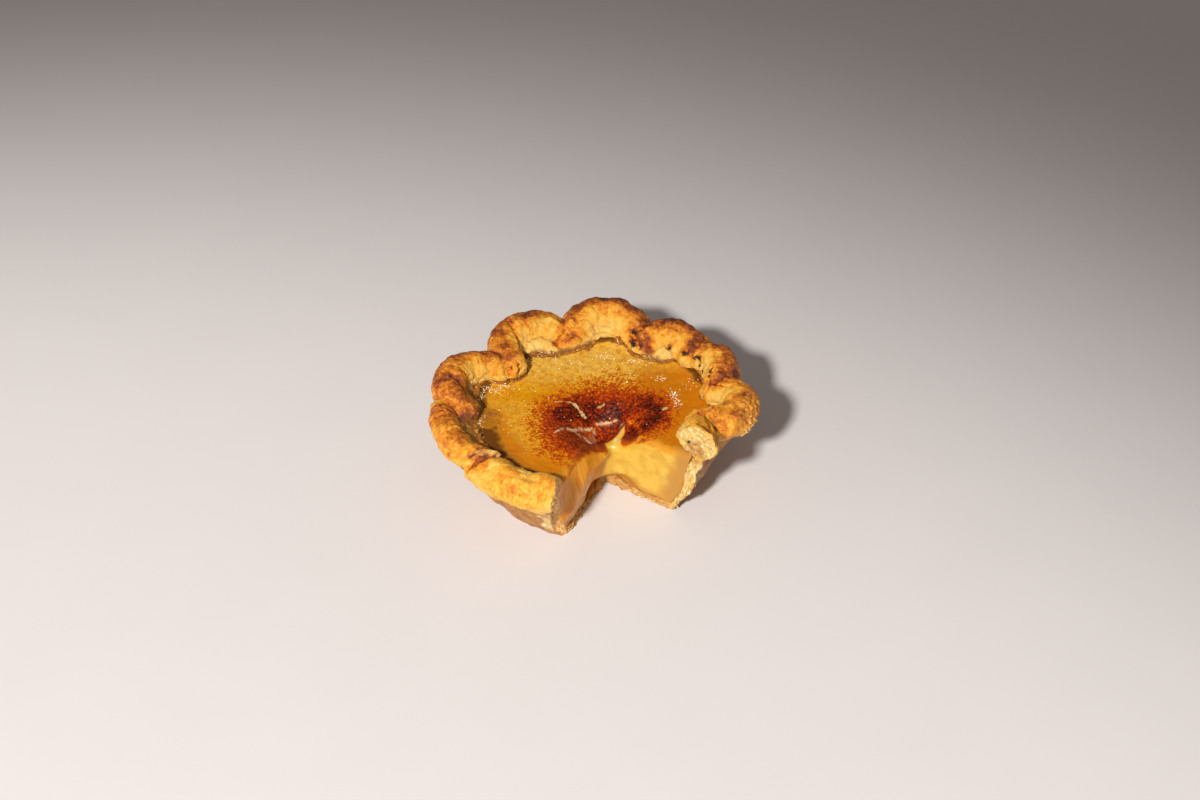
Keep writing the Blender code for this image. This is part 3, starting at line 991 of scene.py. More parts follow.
def dough_fields(points, normals):
    """Numbers on the dough that both its relief and its colours follow."""
    fields = roll_fields(points)
    flat = points - np.array(AXIS)
    fields["radius"], fields["bearing"] = round_axis(points)
    fields["on_roll"] = falling(fields["skin"], 0.5 * MM, 2.0 * MM)
    fields["left"] = LEFT_CUT.share(points, normals, 1.0 * MM, rim_end_shift(points), wall_bevel(points))
    fields["right"] = RIGHT_CUT.share(points, normals, 1.0 * MM)
    fields["cut"] = np.maximum(fields["left"], fields["right"])
    fields["bottom"] = falling(points[:, 2], 0.2 * MM, 0.6 * MM)
    fields["inside"] = eased(-(normals[:, :2] * flat[:, :2]).sum(axis=1) / fields["radius"] / 0.4)
    fields["slope"] = fields["inside"] * (1.0 - fields["on_roll"]) * eased(points[:, 2] / MM - 33.0)
    fields["crumbly"] = 1.0 - eased(distance_from(points, CRUMBLY_PLACE) / CRUMBLY_SPREAD)
    fields["groove"] = np.zeros(len(points))
    fields["dark"] = np.zeros(len(points))
    wander = 0.5 * layered_noise(points, *CREASE_WANDER)
    for line, width, depth, dark in CREASES:
        away = line_distance(points / MM, line) + wander
        groove = bump_at(away, width) - 0.35 * bump_at(away - 2.4 * width, width)
        fields["groove"] = np.maximum(fields["groove"], 0.0) + depth * groove
        fields["dark"] = np.maximum(fields["dark"], dark * bump_at(away, 1.5 * width))
    flat = points / MM
    away = line_distance(flat, LIP_LINE)
    ahead = flat[:, 1] - read_off(flat[:, 0], [place[:2] for place in LIP_LINE])
    over_lip = eased(2.0 * ahead + 0.5)
    fields["lip"] = over_lip * falling(away, 0.7, 1.2)
    fields["under_lip"] = (1.0 - over_lip) * falling(away, 1.4, 3.0)
    behind = -RIGHT_CUT.stand_out(points)
    last = (fields["roll"] == len(ROLLS) - 1) * eased(points[:, 2] / MM - 44.0)
    fields["last"] = last * rising(behind, LAST_ROLL_SKIN, 0.7 * MM)
    return fields


def dough_grain(points, fields):
    """Place on the dough's skin: along and round the rolls, and round and up the wall."""
    half = np.array(ROLL_HALF_THICKNESS)[fields["roll"]] * MM
    on_rolls = np.stack([fields["along"], fields["turned"] * half, fields["roll"] * 40.0 * MM], axis=1)
    round_wall = np.radians(fields["bearing"]) * FOOT_RADIUS
    on_wall = np.stack([round_wall, points[:, 2], np.full(len(points), -40.0 * MM)], axis=1)
    return np.where((fields["on_roll"] > 0.5)[:, None], on_rolls, on_wall)


def terraces(values):
    """Turn smooth noise into two flat levels with steep edges, like layers that flaked off."""
    return rising(values, 0.05, 0.10) + 0.8 * rising(values, -0.38, 0.10) - 0.9


def dough_relief(points, normals):
    """New positions of the dough's points: lumps, flakes, blisters, creases, crumbs and ragged cuts."""
    fields = dough_fields(points, normals)
    whole = 1.0 - fields["cut"]
    grain = dough_grain(points, fields)
    on_roll = fields["on_roll"] * whole
    slope = fields["slope"] * whole
    on_wall = (1.0 - fields["on_roll"]) * (1.0 - fields["slope"]) * whole * (1.0 - fields["bottom"])

    height = LUMP_HEIGHT * layered_noise(points, *LUMPS)
    streaks = layered_noise(grain * np.array([1.0, 0.14, 1.0]), *STREAKS)
    folds = layered_noise(grain * np.array([1.0, 0.3, 1.0]), *FOLDS)
    blisters = layered_noise(points, *BLISTERS)
    flakes = terraces(layered_noise(grain * np.array([0.8, 0.8, 1.0]), *FLAKES))
    height += on_roll * weighted(ROLL_RELIEF, (streaks, folds, blisters, flakes))
    height += slope * weighted(SLOPE_RELIEF, (streaks, folds, blisters, flakes))

    slanted = grain.copy()
    slanted[:, 0] += 0.8 * grain[:, 1]
    wrinkles = layered_noise(slanted * np.array([1.0, 0.22, 1.0]), *WRINKLES)
    height += on_wall * weighted(WALL_RELIEF, (wrinkles, blisters, flakes))

    between = bump_at(fields["next"], ROLL_LINE_WIDTH) * fields["on_roll"] * whole * (1.0 - fields["slope"])
    height -= ROLL_LINE_DEPTH * between + fields["groove"] * whole
    height += LIP_HEIGHT * fields["lip"] - LIP_HOLLOW * fields["under_lip"]
    height -= fields["last"] * LAST_ROLL_DROP / MM
    crumbs = layered_noise(points, *BROKEN_CRUMBS)
    height += fields["crumbly"] * whole * (BROKEN_RELIEF * crumbs - BROKEN_SINK)
    height -= BURNT_DEPTH * spots_at(points, BURNT_SPOTS, BURNT_SEED)
    disc = (fields["roll"] == len(ROLLS) - 1) * falling(-RIGHT_CUT.stand_out(points) / MM, 2.0, 4.0)
    height += DISC_UNEVEN * disc * whole * layered_noise(points, *DISC_LUMPS)
    return flaky_cuts(points + normals * height[:, None] * MM, fields)


def cut_layers(points, fields):
    """Place on the cut faces across the dough's layers and, much shortened, along them."""
    radius = round_axis(points)[0]
    away = distance_from(points, disc_place(*DISC_MIDDLE))
    standing = np.stack([radius - wall_inside(points), 0.22 * points[:, 2], 0.0 * radius], axis=1)
    lying = np.stack([points[:, 2], 0.22 * radius, 0.0 * radius], axis=1)
    rolled = np.stack([away, 0.8 * points[:, 2], 0.8 * radius], axis=1)
    low = (points[:, 2] < 4.2 * MM)[:, None]
    high = ((fields["on_roll"] > 0.5) & (points[:, 2] > 35.0 * MM))[:, None]
    return np.where(low, lying, np.where(high, rolled, standing))


def rim_end_shift(points):
    """How far the rim's end stands out of the left cut."""
    reach = LEFT_CUT.reach(points)
    behind = -LEFT_CUT.stand_out(points)
    part = rising(reach, RIM_END_REACH[0], RIM_END_REACH[1] - RIM_END_REACH[0])
    shift = RIM_END_SHIFT[0] + (RIM_END_SHIFT[1] - RIM_END_SHIFT[0]) * part
    shift = shift * eased(points[:, 2] / RIM_END_HEIGHT) * (1.0 - eased(behind / RIM_END_DEPTH))
    return shift * rising(reach, 36.0 * MM, 4.0 * MM)


def wall_bevel(points):
    """How far the left cut of the wall falls back towards its outside."""
    through = np.clip((round_axis(points)[0] - wall_inside(points)) / CRUST_WALL, 0.0, 1.0)
    low = falling(points[:, 2] / MM, 31.0, 4.0)
    return WALL_BEVEL * through**2 * low * (LEFT_CUT.reach(points) > 30.0 * MM)


def flaky_cuts(points, fields):
    """Ragged layers on the cut faces of the dough, and the rim's end drawn out at the left cut."""
    sides = ((LEFT_CUT, fields["left"]), (RIGHT_CUT, fields["right"]))
    for (face, share), seed in zip(sides, CUT_SEEDS):
        reach = face.reach(points)
        low = falling(points[:, 2], 4.0 * MM, 3.0 * MM)
        high = rising(points[:, 2], 33.0 * MM, 4.0 * MM)
        standing = (1.0 - low) * (1.0 - high)
        across = np.stack([reach, points[:, 2], np.zeros(len(points))], axis=1)
        upright = across * np.array([ACROSS_LAYERS, ALONG_LAYERS, 1.0])
        lying = across * np.array([ALONG_LAYERS, ACROSS_LAYERS, 1.0])
        layers = (
            standing * lattice_noise(upright, CUT_LAYER_CELLS, seed)
            + low * lattice_noise(lying, CUT_LAYER_CELLS, seed + 1)
            + high * layered_noise(points, 2.4 * MM, seed + 2, 2)
        )
        ragged = layered_noise(points, 1.7 * MM, seed + 3, 2)
        lumps = low * layered_noise(points, 4.5 * MM, seed + 4, 2)
        out = share * weighted((LAYER_HEIGHT, RAGGED_HEIGHT, CUT_LUMP_HEIGHT), (layers, ragged, lumps))
        points = points + face.outward[None, :] * out[:, None]
        edge = share * (low + standing)
        points[:, :2] += (edge * 0.5 * MM * ragged)[:, None] * face.along[None, :2]
    bevel = wall_bevel(points)
    over = np.maximum(LEFT_CUT.stand_out(points) + bevel, 0.0) * (bevel > 0.0)
    points = points + LEFT_CUT.outward[None, :] * (rim_end_shift(points) - over)[:, None]
    points[:, 2] = np.maximum(points[:, 2], 0.0)
    return points


def dough_toast_and_shade(points, fields, patches):
    """How browned the dough is, from 0 to 1, with painted shade between rolls, under the lip and partly in
    creases.
    """
    turned = fields["turned"]
    outer = 0.5 + 0.5 * np.cos(turned - math.radians(OUTSIDE_TURN))
    top = rising(np.sin(turned), -0.2, 1.2)
    per_roll = np.array(ROLL_TOAST)[fields["roll"]]
    toast_and_shade = per_roll + OUTSIDE_TOAST * (outer - OUTSIDE_MIDDLE) + TOP_TOAST * top + PATCH_TOAST * patches
    wall = WALL_TOAST + PATCH_TOAST * patches
    toast_and_shade = fields["on_roll"] * toast_and_shade + (1.0 - fields["on_roll"]) * wall
    # Painted shade in the lines between rolls.
    lines = bump_at(fields["next"], 1.4 * MM) * fields["on_roll"] * (1.0 - fields["slope"])
    toast_and_shade += ROLL_LINE_SHADE * lines
    # Darker creases, partly burnt lines and partly painted shade; painted shade in the hollow under the lip.
    toast_and_shade += fields["dark"] + HOLLOW_SHADE * fields["under_lip"] + LIP_TOAST * fields["lip"]
    toast_and_shade += LAST_ROLL_TOAST * fields["last"] + CRUMBLY_TOAST * fields["crumbly"]
    return np.clip(toast_and_shade, 0.0, 1.0)


def dough_colours(mesh):
    """Numbers that the dough's material reads."""
    points, normals = vertex_arrays(mesh)
    fields = dough_fields(points, normals)
    patches = layered_noise(points, *TOAST_PATCHES)
    flaked = flaked_skin(points, fields)
    skin_edge = eased((fields["skin"] / MM + 1.1 + 0.9 * patches) / 0.7) * fields["on_roll"] * fields["right"]
    from_hole = distance_from(points, disc_place(*DISC_HOLE)) / MM / DISC_HOLE_RADIUS
    by_filling = 1.0 - eased(((fields["radius"] - wall_inside(points)) / MM - 0.5 + 0.8 * patches) / 1.2)
    under_rolls = falling(points[:, 2] / MM, 33.0, 3.0)
    shaded = falling(np.abs(fields["bearing"] - SHADED_BEARING), SHADED_SPREAD, SHADED_FADE)
    inner = np.maximum(fields["inside"] * fields["on_roll"], fields["slope"])
    painted = {
        "toast_and_shade": dough_toast_and_shade(points, fields, patches),
        "cut": np.maximum(np.maximum(fields["cut"], flaked), 0.95 * fields["lip"]),
        "left_cut": fields["left"],
        "core": soggy_core(points) * eased(fields["right"] * 3.0),
        "cut_rim": skin_edge,
        "hole": 1.0 - eased(from_hole - 0.5),
        "inner_edge": by_filling * fields["cut"] * under_rolls,
        "wall": (1.0 - fields["on_roll"]) * (1.0 - fields["slope"]),
        # Inner sides are paler; at the shaded bearings this turns into painted shade.
        "inner": inner * (1.0 - PAINTED_SHADE_STRENGTH * shaded),
        "soak": soaked(points, fields),
        "crumb": eased(fields["crumbly"] * 2.2),
        "burnt": spots_at(points, BURNT_SPOTS, BURNT_SEED),
        "scorched": spots_at(points, SCORCHED_SPOTS, SCORCHED_SEED),
        "grain": dough_grain(points, fields),
        "layers": cut_layers(points, fields),
    }
    for name, values in painted.items():
        paint(mesh, name, values)


def wall_inside(points):
    """Radius of the inside of the crust's wall at the height of points."""
    slope = (FILLING_RADIUS - FOOT_RADIUS + CRUST_WALL * FOOT_WALL_SHARE) / FILLING_TOP
    return FOOT_RADIUS - CRUST_WALL * FOOT_WALL_SHARE + slope * points[:, 2]


def disc_place(reach, height):
    """Place on the right cut, at a reach from the point where the cuts meet and a height."""
    return np.array(CUT_POINT + on_direction(CUT_RIGHT) * reach + Vector((0.0, 0.0, height)))


def soggy_core(points):
    """1 in the soaked middle of the last roll's cut end, fading to 0 around it."""
    away = points - disc_place(*DISC_CORE)
    ragged = layered_noise(points, 3.0 * MM, 78, 3)
    across = np.hypot(away[:, 0], away[:, 1]) / DISC_CORE_HALF[0]
    return 1.0 - eased((np.hypot(across, away[:, 2] / DISC_CORE_HALF[1]) - 0.8 + 0.35 * ragged) / 0.5)


def flaked_skin(points, fields):
    """Where the brown skin of the wall has flaked off beside the left cut."""
    behind = -LEFT_CUT.stand_out(points) / MM
    ragged = layered_noise(points, 4.0 * MM, 75, 3)
    up = eased(points[:, 2] / MM / 4.0 - 0.6) * falling(points[:, 2] / MM, 19.0, 7.0)
    reach = rising(LEFT_CUT.reach(points) / MM, 36.0, 3.0)
    return (1.0 - eased((behind - 5.6 + 4.2 * ragged) / 0.8)) * up * reach * (1.0 - fields["inside"])


def soaked(points, fields):
    """How far syrup has soaked the dough: along the filling's edge, most at the left."""
    left = falling(np.abs(fields["bearing"] + 72.0), 26.0, 10.0)
    height = points[:, 2] - SUGAR_TOP - EDGE_RISE
    climb = 1.0 * MM + 11.0 * MM * left + 1.2 * MM * lattice_noise(points, 3.0 * MM, 71)
    return (1.0 - eased(height / climb)) * fields["inside"] * (1.0 - fields["cut"])


# Colours of the pie, as linear red, green and blue.
DOUGH_PALE = (0.94, 0.57, 0.13)
DOUGH_GOLD = (0.90, 0.45, 0.036)
DOUGH_ORANGE = (0.82, 0.27, 0.008)
DOUGH_BROWN = (0.43, 0.090, 0.004)
DOUGH_DARK = (0.11, 0.020, 0.003)
CUT_CREAM = (0.80, 0.56, 0.18)
SOAKED_BROWN = (0.25, 0.09, 0.016)
CUT_CRUST = (0.36, 0.13, 0.020)
CUT_TAN = (0.72, 0.40, 0.08)
CUT_PALE = (0.94, 0.77, 0.44)
CUT_BY_FILLING = (0.52, 0.22, 0.045)
# Painted warm bounce light for the left cut, which faces away from the lamp.
LEFT_CUT_BOUNCE_LIGHT = (1.2, 0.93, 0.80)
HOLE_SHADE = (0.02, 0.008, 0.004)
SCORCHED_RED = (0.26, 0.030, 0.006)
BURNT_BLACK = (0.010, 0.006, 0.005)

# Colour ramps of the dough, as (place, colour) stops.
WALL_STOPS = [(0.42, (0.21, 0.062, 0.010)), (0.60, (0.46, 0.17, 0.026)), (0.85, (0.66, 0.33, 0.060))]
CRUMBLY_STOPS = [(0.36, (0.26, 0.05, 0.003)), (0.5, (0.90, 0.31, 0.015)), (0.64, (1.0, 0.58, 0.10))]
CORE_STOPS = [(0.40, (0.36, 0.15, 0.032)), (0.60, (0.60, 0.31, 0.085))]
CRISP_STOPS = [(0.36, (0.72, 0.50, 0.30)), (0.46, (1.0, 1.0, 1.0))]


def dough_material(colours):
    """Baked dough: streaked gold, toasted brown on the rolls, cream and flaky where cut, with painted shade
    and light.
    """
    make = Recipe("baked_dough")
    place = make.place()
    grain = make.painted("grain", "Vector")
    mottle = make.noise(place, 4.2 * MM, 4.0, 0.6)
    speckle = make.noise(place, 1.5 * MM, 4.0, 0.72)
    streak = make.noise(make.scaled(grain, (1.0, 0.16, 1.0)), 1.5 * MM, 4.0, 0.65, 0.4)
    toast_and_shade = make.varied(make.painted("toast_and_shade"), mottle, 0.85)
    toast_and_shade = make.varied(toast_and_shade, speckle, 0.95)
    toast_and_shade = make.varied(toast_and_shade, streak, 0.55)
    # Inner sides of the rolls: paler, and darker with painted shade at the shaded bearings.
    toast_and_shade = make.sum(toast_and_shade, make.painted("inner"), -0.16)
    baked_stops = [(0.04, colours.dough_pale), (0.32, colours.dough_gold), (0.53, colours.dough_orange)]
    baked_stops += [(0.76, colours.dough_brown), (1.0, DOUGH_DARK)]
    skin = make.ramp(toast_and_shade, baked_stops)
    wrinkles = make.noise(make.scaled(grain, (1.0, 0.3, 1.0)), 2.6 * MM, 4.0, 0.6, 0.5)
    skin = make.coated(skin, "wall", 0.9, make.ramp(make.sum(wrinkles, speckle, 0.25), WALL_STOPS))
    crumb = make.ramp(make.noise(place, 1.2 * MM, 4.0, 0.7), CRUMBLY_STOPS)
    skin = make.coated(skin, "crumb", 0.75, crumb)

    layers = make.noise(make.painted("layers", "Vector"), 1.1 * MM, 4.0, 0.7, 0.6)
    layers = make.sum(make.product(layers, 0.62), make.noise(place, 2.2 * MM, 5.0, 0.75), 0.38)
    cut_stops = [(0.37, CUT_CRUST), (0.44, CUT_TAN), (0.51, colours.cut_cream), (0.61, CUT_PALE)]
    cream = make.ramp(layers, cut_stops)
    # Painted warm bounce light on the shaded left cut.
    cream = make.coated(cream, "left_cut", 0.9, LEFT_CUT_BOUNCE_LIGHT, "MULTIPLY")
    cream = make.coated(cream, "inner_edge", 0.75, CUT_BY_FILLING)
    cream = make.coated(cream, "core", 0.92, make.ramp(speckle, CORE_STOPS))
    cream = make.coated(cream, "cut_rim", 0.8, colours.dough_gold)
    # The small hole is painted shade, a dark spot with no hollow under it.
    cream = make.mixed(make.painted("hole"), cream, HOLE_SHADE)
    skin = make.mixed(make.painted("cut"), skin, cream)

    crisp = make.ramp(make.noise(place, 0.9 * MM, 4.0, 0.8), CRISP_STOPS)
    skin = make.mixed(0.6, skin, crisp, "MULTIPLY")
    skin = make.coated(skin, "soak", 0.9, colours.soaked_brown)
    skin = make.coated(skin, "scorched", 0.8, SCORCHED_RED)
    skin = make.mixed(make.painted("burnt"), skin, BURNT_BLACK)
    pits = make.sum(make.noise(place, 1.3 * MM, 5.0, 0.75), streak, 0.6)
    rough = make.sum(make.stepped(speckle, 0.38, 0.62, 0.28, 0.52), make.painted("soak"), -0.24)
    return make.finish(
        Base_Color=skin,
        Roughness=rough,
        Normal=make.bump(pits, 1.0, 0.8 * MM),
        Specular_IOR_Level=0.44,
        Subsurface_Weight=0.06,
        Subsurface_Radius=(1.0, 0.45, 0.15),
        Subsurface_Scale=1.0 * MM,
    )


# Cut through the filling: the wide hollow corner where its two sides meet, and its soft upper edges.
CORNER_REACH = (16.0 * MM, 12.0 * MM)
CORNER_STEPS = 14
EDGE_SOFTNESS = 3.4 * MM
EDGE_TABLE = np.array([filling_edge(bearing) for bearing in range(361)])


def hollow_line():
    """Level line of the cut through the filling, in mm: straight sides joined by a wide hollow corner."""
    left = on_direction(CUT_LEFT)
    right = on_direction(CUT_RIGHT)
    start = CUT_POINT + left * CORNER_REACH[0]
    end = CUT_POINT + right * CORNER_REACH[1]
    line = [CUT_POINT + left * CUT_LENGTH]
    for step in range(CORNER_STEPS + 1):
        share = step / CORNER_STEPS
        line.append(start.lerp(CUT_POINT, share).lerp(CUT_POINT.lerp(end, share), share))
    line.append(CUT_POINT + right * CUT_LENGTH)
    return line


def away_from_line(points, line):
    """How far points lie behind the line of the cut, negative in the gap, and the level way inwards."""
    flat = points[:, :2]
    best = np.full(len(flat), 1e3)
    behind = np.zeros(len(flat))
    inward = np.zeros((len(flat), 2))
    for first, second in zip(line, line[1:]):
        start = np.array(first)[:2]
        run = np.array(second)[:2] - start
        normal = np.array([-run[1], run[0]]) / np.linalg.norm(run)
        share = np.clip(((flat - start) @ run) / run.dot(run), 0.0, 1.0)
        away = flat - start - share[:, None] * run
        distance = np.linalg.norm(away, axis=1)
        closer = distance < best
        best = np.where(closer, distance, best)
        side = np.where(away @ normal < 0.0, -1.0, 1.0)
        straight = away * (side / np.maximum(distance, TINY))[:, None]
        way = np.where((distance > 0.3 * MM)[:, None], straight, normal)
        behind = np.where(closer, side * distance, behind)
        inward = np.where(closer[:, None], way, inward)
    return behind, inward


def top_at(points, height):
    """Height of the filling's top, or the sugar's, over points, for its height at the middle."""
    radius, bearing = round_axis(points)
    share = radius / np.interp(bearing % 360.0, np.arange(361.0), EDGE_TABLE)
    away = np.hypot(points[:, 0] - CUT_POINT.x, points[:, 1] - CUT_POINT.y)
    return height + edge_rise(share) - sag_at(away)


def soft_edge(points, height, radius):
    """Round the edge between the cut and the top: points near both move onto a round corner."""
    behind, inward = away_from_line(points, hollow_line())
    under = np.clip(top_at(points, height) - points[:, 2], 0.0, None)
    side = np.clip(radius - np.clip(behind, 0.0, None), 0.0, None)
    up = np.clip(radius - under, 0.0, None)
    length = np.hypot(side, up)
    share = np.where((side > 0.0) & (up > 0.0) & (length > radius), radius / np.maximum(length, TINY), 1.0)
    points = points.copy()
    points[:, :2] += inward * (side * (1.0 - share))[:, None]
    points[:, 2] -= up * (1.0 - share)
    return points


def hollow_slice():
    """Cutter for the slice through the filling, with the wide hollow corner."""
    return prism("hollow_slice", hollow_line())


# Burnt sugar: density of its surface.
SUGAR_BEARING_STEP = 0.6
SUGAR_RINGS = 108
SUGAR_OVERLAP = 0.7 * MM
SUGAR_BEHIND_CUT = 1.4 * MM

# Patterns on the burnt sugar: (cell size, seed, layers), and how far its outlines wander, in mm.
SUGAR_RAGGED = (2.4 * MM, 211, 3)
SUGAR_FINE = (0.9 * MM, 216, 1)
SUGAR_WAVES = (6.0 * MM, 221, 1)
SUGAR_RIPPLES = (2.2 * MM, 222, 2)
SUGAR_GRAIN = (1.3 * MM, 225, 2)
SUGAR_STAINS = (5.0 * MM, 231, 1)
OUTLINE_CELLS = 6.0 * MM
OUTLINE_SEEDS = (201, 202)
OUTLINE_WANDER = 2.4

# Heights in mm of its waves, ripples and burnt grain; how high the cracks, the wedge and the lobe
# stand, how deep the notch and the bare places lie, and how deep the sugar sinks at the cut.
WAVE_HEIGHT = 0.20
RIPPLE_HEIGHT = 0.10
GRAIN_HEIGHT = 0.20
RAISED_HEIGHTS = (0.40, 0.30, 0.7)
SUNK_DEPTHS = (1.6, 0.25)
SUGAR_EDGE_DEPTH = 0.75

# Outline of the burnt patch, in mm.
BURNT_OUTLINE = [
    (-23.5, -21.4), (-25.9, -11.5), (-22.2, 1.9), (-15.6, 12.1), (-6.6, 15.6),
    (2.4, 20.4), (11.4, 21.8), (20.4, 19.0), (27.1, 15.6), (32.8, 8.7),
    (34.4, -1.5), (32.4, -11.5), (26.5, -17.7), (19.9, -20.3), (10.0, -16.0),
    (2.0, -18.0), (-3.0, -27.0), (-6.3, -33.0), (-15.0, -33.1), (-21.2, -27.9),
]

# Darker parts of it: (line of points in mm, half width in mm, strength).
BURNT_PARTS = [
    ([(-15.4, -3.9), (-6.6, 0.5), (2.4, 2.1), (11.0, 1.6)], 5.5, 0.40),
    ([(23.0, 2.0), (28.5, -0.5), (28.5, -6.0), (22.0, -9.5)], 4.8, 0.44),
    ([(-17.0, -15.0), (-12.0, -22.0), (-8.0, -25.0)], 6.5, 0.12),
    ([(4.0, -7.0), (11.0, -4.0), (17.0, -9.5)], 4.0, 0.12),
    ([(14.5, -12.5), (17.5, -11.0)], 3.5, 0.16),
    ([(-12.0, 6.0), (0.0, 10.0), (10.0, 11.0), (22.0, 10.0)], 3.2, 0.08),
    ([(-4.0, -14.0), (2.0, -11.0)], 4.0, 0.18),
]

# Pale places where the custard shows through, and cracks: (line of points in mm, half width in mm,
# strength).
BARE_PATCHES = [
    ([(-8.6, 2.8), (-7.0, 1.4), (-5.2, -0.4)], 0.44, 0.8),
    ([(-18.6, 3.9), (-14.0, 4.0), (-9.5, 3.2)], 0.20, 0.6),
    ([(1.0, 4.2), (2.4, 4.6), (3.8, 5.8)], 0.24, 0.6),
    ([(30.6, -0.6), (31.8, 0.4)], 0.5, 0.8),
]
CRACKS = [
    (
        [(-17.4, -16.2), (-13.5, -12.6), (-10.0, -10.6), (-4.5, -6.5), (1.0, -2.7), (5.0, -1.9), (9.0, -1.9)],
        0.55,
        1.0,
    ),
    ([(-11.8, -10.9), (-8.5, -11.2), (-5.6, -12.1), (-3.0, -13.8), (-0.7, -15.7)], 0.85, 0.75),
    ([(-0.3, -5.1), (0.2, -9.5), (1.0, -14.2)], 0.6, 0.45),
    ([(12.6, -4.1), (11.0, -7.0), (8.8, -11.4)], 0.5, 0.9),
]

# Golden rim of the burnt patch by the notch, wedge of clear sugar, and notch where the sugar broke off,
# in mm.
GOLD_RIM = [(15.0, -4.0), (18.3, -6.7), (20.2, -11.0), (19.4, -18.0)]
WEDGE = [(-5.6, -12.1), (-3.0, -9.5), (-0.5, -7.5), (1.0, -14.2), (-0.7, -15.7)]
NOTCH = [(13.2, -4.6), (10.0, -8.3), (7.0, -10.8), (4.6, -12.0)]
NOTCH += [(6.0, -18.0), (12.0, -17.0), (12.2, -11.0), (13.6, -7.5)]

# Lobe of syrup at the left edge of the filling: middle in mm and radius in mm.
SYRUP_LOBE = ((-47.6, -8.0), 6.2)

# Inner border of the brown edge of the filling, soaked with syrup and partly painted shade from the rolls:
# (bearing, radius in mm), joined evenly.
SOAKED_AND_SHADED_BORDER = [
    (-270.0, 51.0), (-240.0, 49.5), (-225.0, 48.0), (-215.0, 40.5), (-200.0, 45.5),
    (-186.0, 45.5), (-172.0, 39.6), (-158.0, 38.0), (-140.0, 43.6), (-120.0, 45.0),
    (-106.0, 46.4), (-92.0, 43.0), (-86.0, 41.2), (-78.0, 40.2), (-68.0, 40.8),
    (-60.0, 42.0), (-50.0, 43.6), (-37.0, 45.4), (-22.0, 45.0),
]


def inside_outline(flat, corners):
    """Whether level points in mm lie inside a closed outline."""
    inside = np.zeros(len(flat), bool)
    for (x1, y1), (x2, y2) in zip(corners, corners[1:] + corners[:1]):
        crosses = (y1 > flat[:, 1]) != (y2 > flat[:, 1])
        at = x1 + (flat[:, 1] - y1) * (x2 - x1) / (y2 - y1 if y2 != y1 else TINY)
        inside ^= crosses & (flat[:, 0] < at)
    return inside


def depth_inside(flat, corners):
    """Distance in mm of level points inside a closed outline, negative outside."""
    away = line_distance(flat, corners + corners[:1])
    return np.where(inside_outline(flat, corners), away, -away)


def crack_at(flat, wander, ragged, fine):
    """Strength of the cracks, which get a painted highlight, at level points in mm."""
    crack = np.zeros(len(flat))
    for line, width, strength in CRACKS:
        away = line_distance(flat + wander, line) + 0.2 * fine
        spread = bump_at(away, width * (1.0 + 0.8 * ragged))
        crack = np.maximum(crack, strength * spread * eased(0.75 + 1.2 * ragged))
    return crack


def sugar_fields(points):
    """Numbers on the burnt sugar that both its relief and its colours follow."""
    flat = points[:, :2] / MM
    level = np.stack([points[:, 0], points[:, 1], np.zeros(len(points))], axis=1)
    wander = np.stack([lattice_noise(level, OUTLINE_CELLS, seed) for seed in OUTLINE_SEEDS], axis=1)
    wander *= OUTLINE_WANDER
    loose = flat + wander
    depth = depth_inside(loose, BURNT_OUTLINE)
    burn = 0.50 * np.clip((depth + 16.0) / 22.0, 0.0, 1.0) ** 1.6
    burn *= 1.0 - 0.42 * rising(flat[:, 1], 7.0, 6.0)
    for line, width, strength in BURNT_PARTS:
        burn += strength * bump_at(line_distance(loose, line), width)
    ragged = layered_noise(level, *SUGAR_RAGGED)
    fine = layered_noise(level, *SUGAR_FINE)
    burn = burn + eased(burn * 2.5) * (0.10 * ragged + 0.05 * fine)
    burn -= 0.35 * bump_at(line_distance(flat, GOLD_RIM) + 0.3 * ragged, 0.9)
    small_wander = 0.35 * wander
    bare = np.zeros(len(points))
    for line, width, strength in BARE_PATCHES:
        inside = bump_at(line_distance(flat + small_wander, line), 2.2 * width)
        bare = np.maximum(bare, strength * rising(inside * (1.0 + 1.1 * fine + 0.9 * ragged), 0.42, 0.2))
    crack = crack_at(flat, small_wander, ragged, fine)
    behind = away_from_line(points, hollow_line())[0] / MM
    notch = rising(depth_inside(flat + 0.5 * ragged[:, None], NOTCH), -0.5, 1.4)
    (x, y), reach = SYRUP_LOBE
    lobe = 1.0 - eased((np.hypot(flat[:, 0] - x, (flat[:, 1] - y) * 0.8) / reach - 0.75 + 0.2 * ragged) / 0.3)
    return {
        "burn": burn,
        "bare": bare,
        "notch": notch,
        "crack": crack,
        "wedge": rising(depth_inside(flat + 0.3 * ragged[:, None], WEDGE), -0.5, 1.0),
        "behind": behind,
        "lobe": lobe,
        "ragged": ragged,
        "fine": fine,
        "level": level,
    }


def sugar_relief(points, normals):
    """New positions of the sugar's points: waves, burnt grain, cracks, and soft edges at the cut."""
    fields = sugar_fields(points)
    top = rising(normals[:, 2], 0.4, 0.3)
    burn = eased(fields["burn"] * 1.6)
    waves = layered_noise(fields["level"], *SUGAR_WAVES)
    ripples = layered_noise(fields["level"], *SUGAR_RIPPLES)
    grain = layered_noise(fields["level"], *SUGAR_GRAIN)
    height = WAVE_HEIGHT * waves + RIPPLE_HEIGHT * ripples * (1.0 - burn) + burn * GRAIN_HEIGHT * grain
    height *= 1.0 - 0.8 * fields["notch"]
    height += weighted(RAISED_HEIGHTS, (fields["crack"], fields["wedge"], fields["lobe"]))
    height -= weighted(SUNK_DEPTHS, (fields["notch"], fields["bare"]))
    height -= SUGAR_EDGE_DEPTH * (1.0 - eased((fields["behind"] - 0.8 + 0.9 * fields["ragged"]) / 2.0))
    points = points.copy()
    points[:, 2] += top * height * MM
    behind, inward = away_from_line(points, hollow_line())
    points[:, :2] += inward * (SUGAR_BEHIND_CUT * (1.0 - eased(behind / (4.0 * MM))))[:, None]
    return soft_edge(points, SUGAR_TOP, EDGE_SOFTNESS)


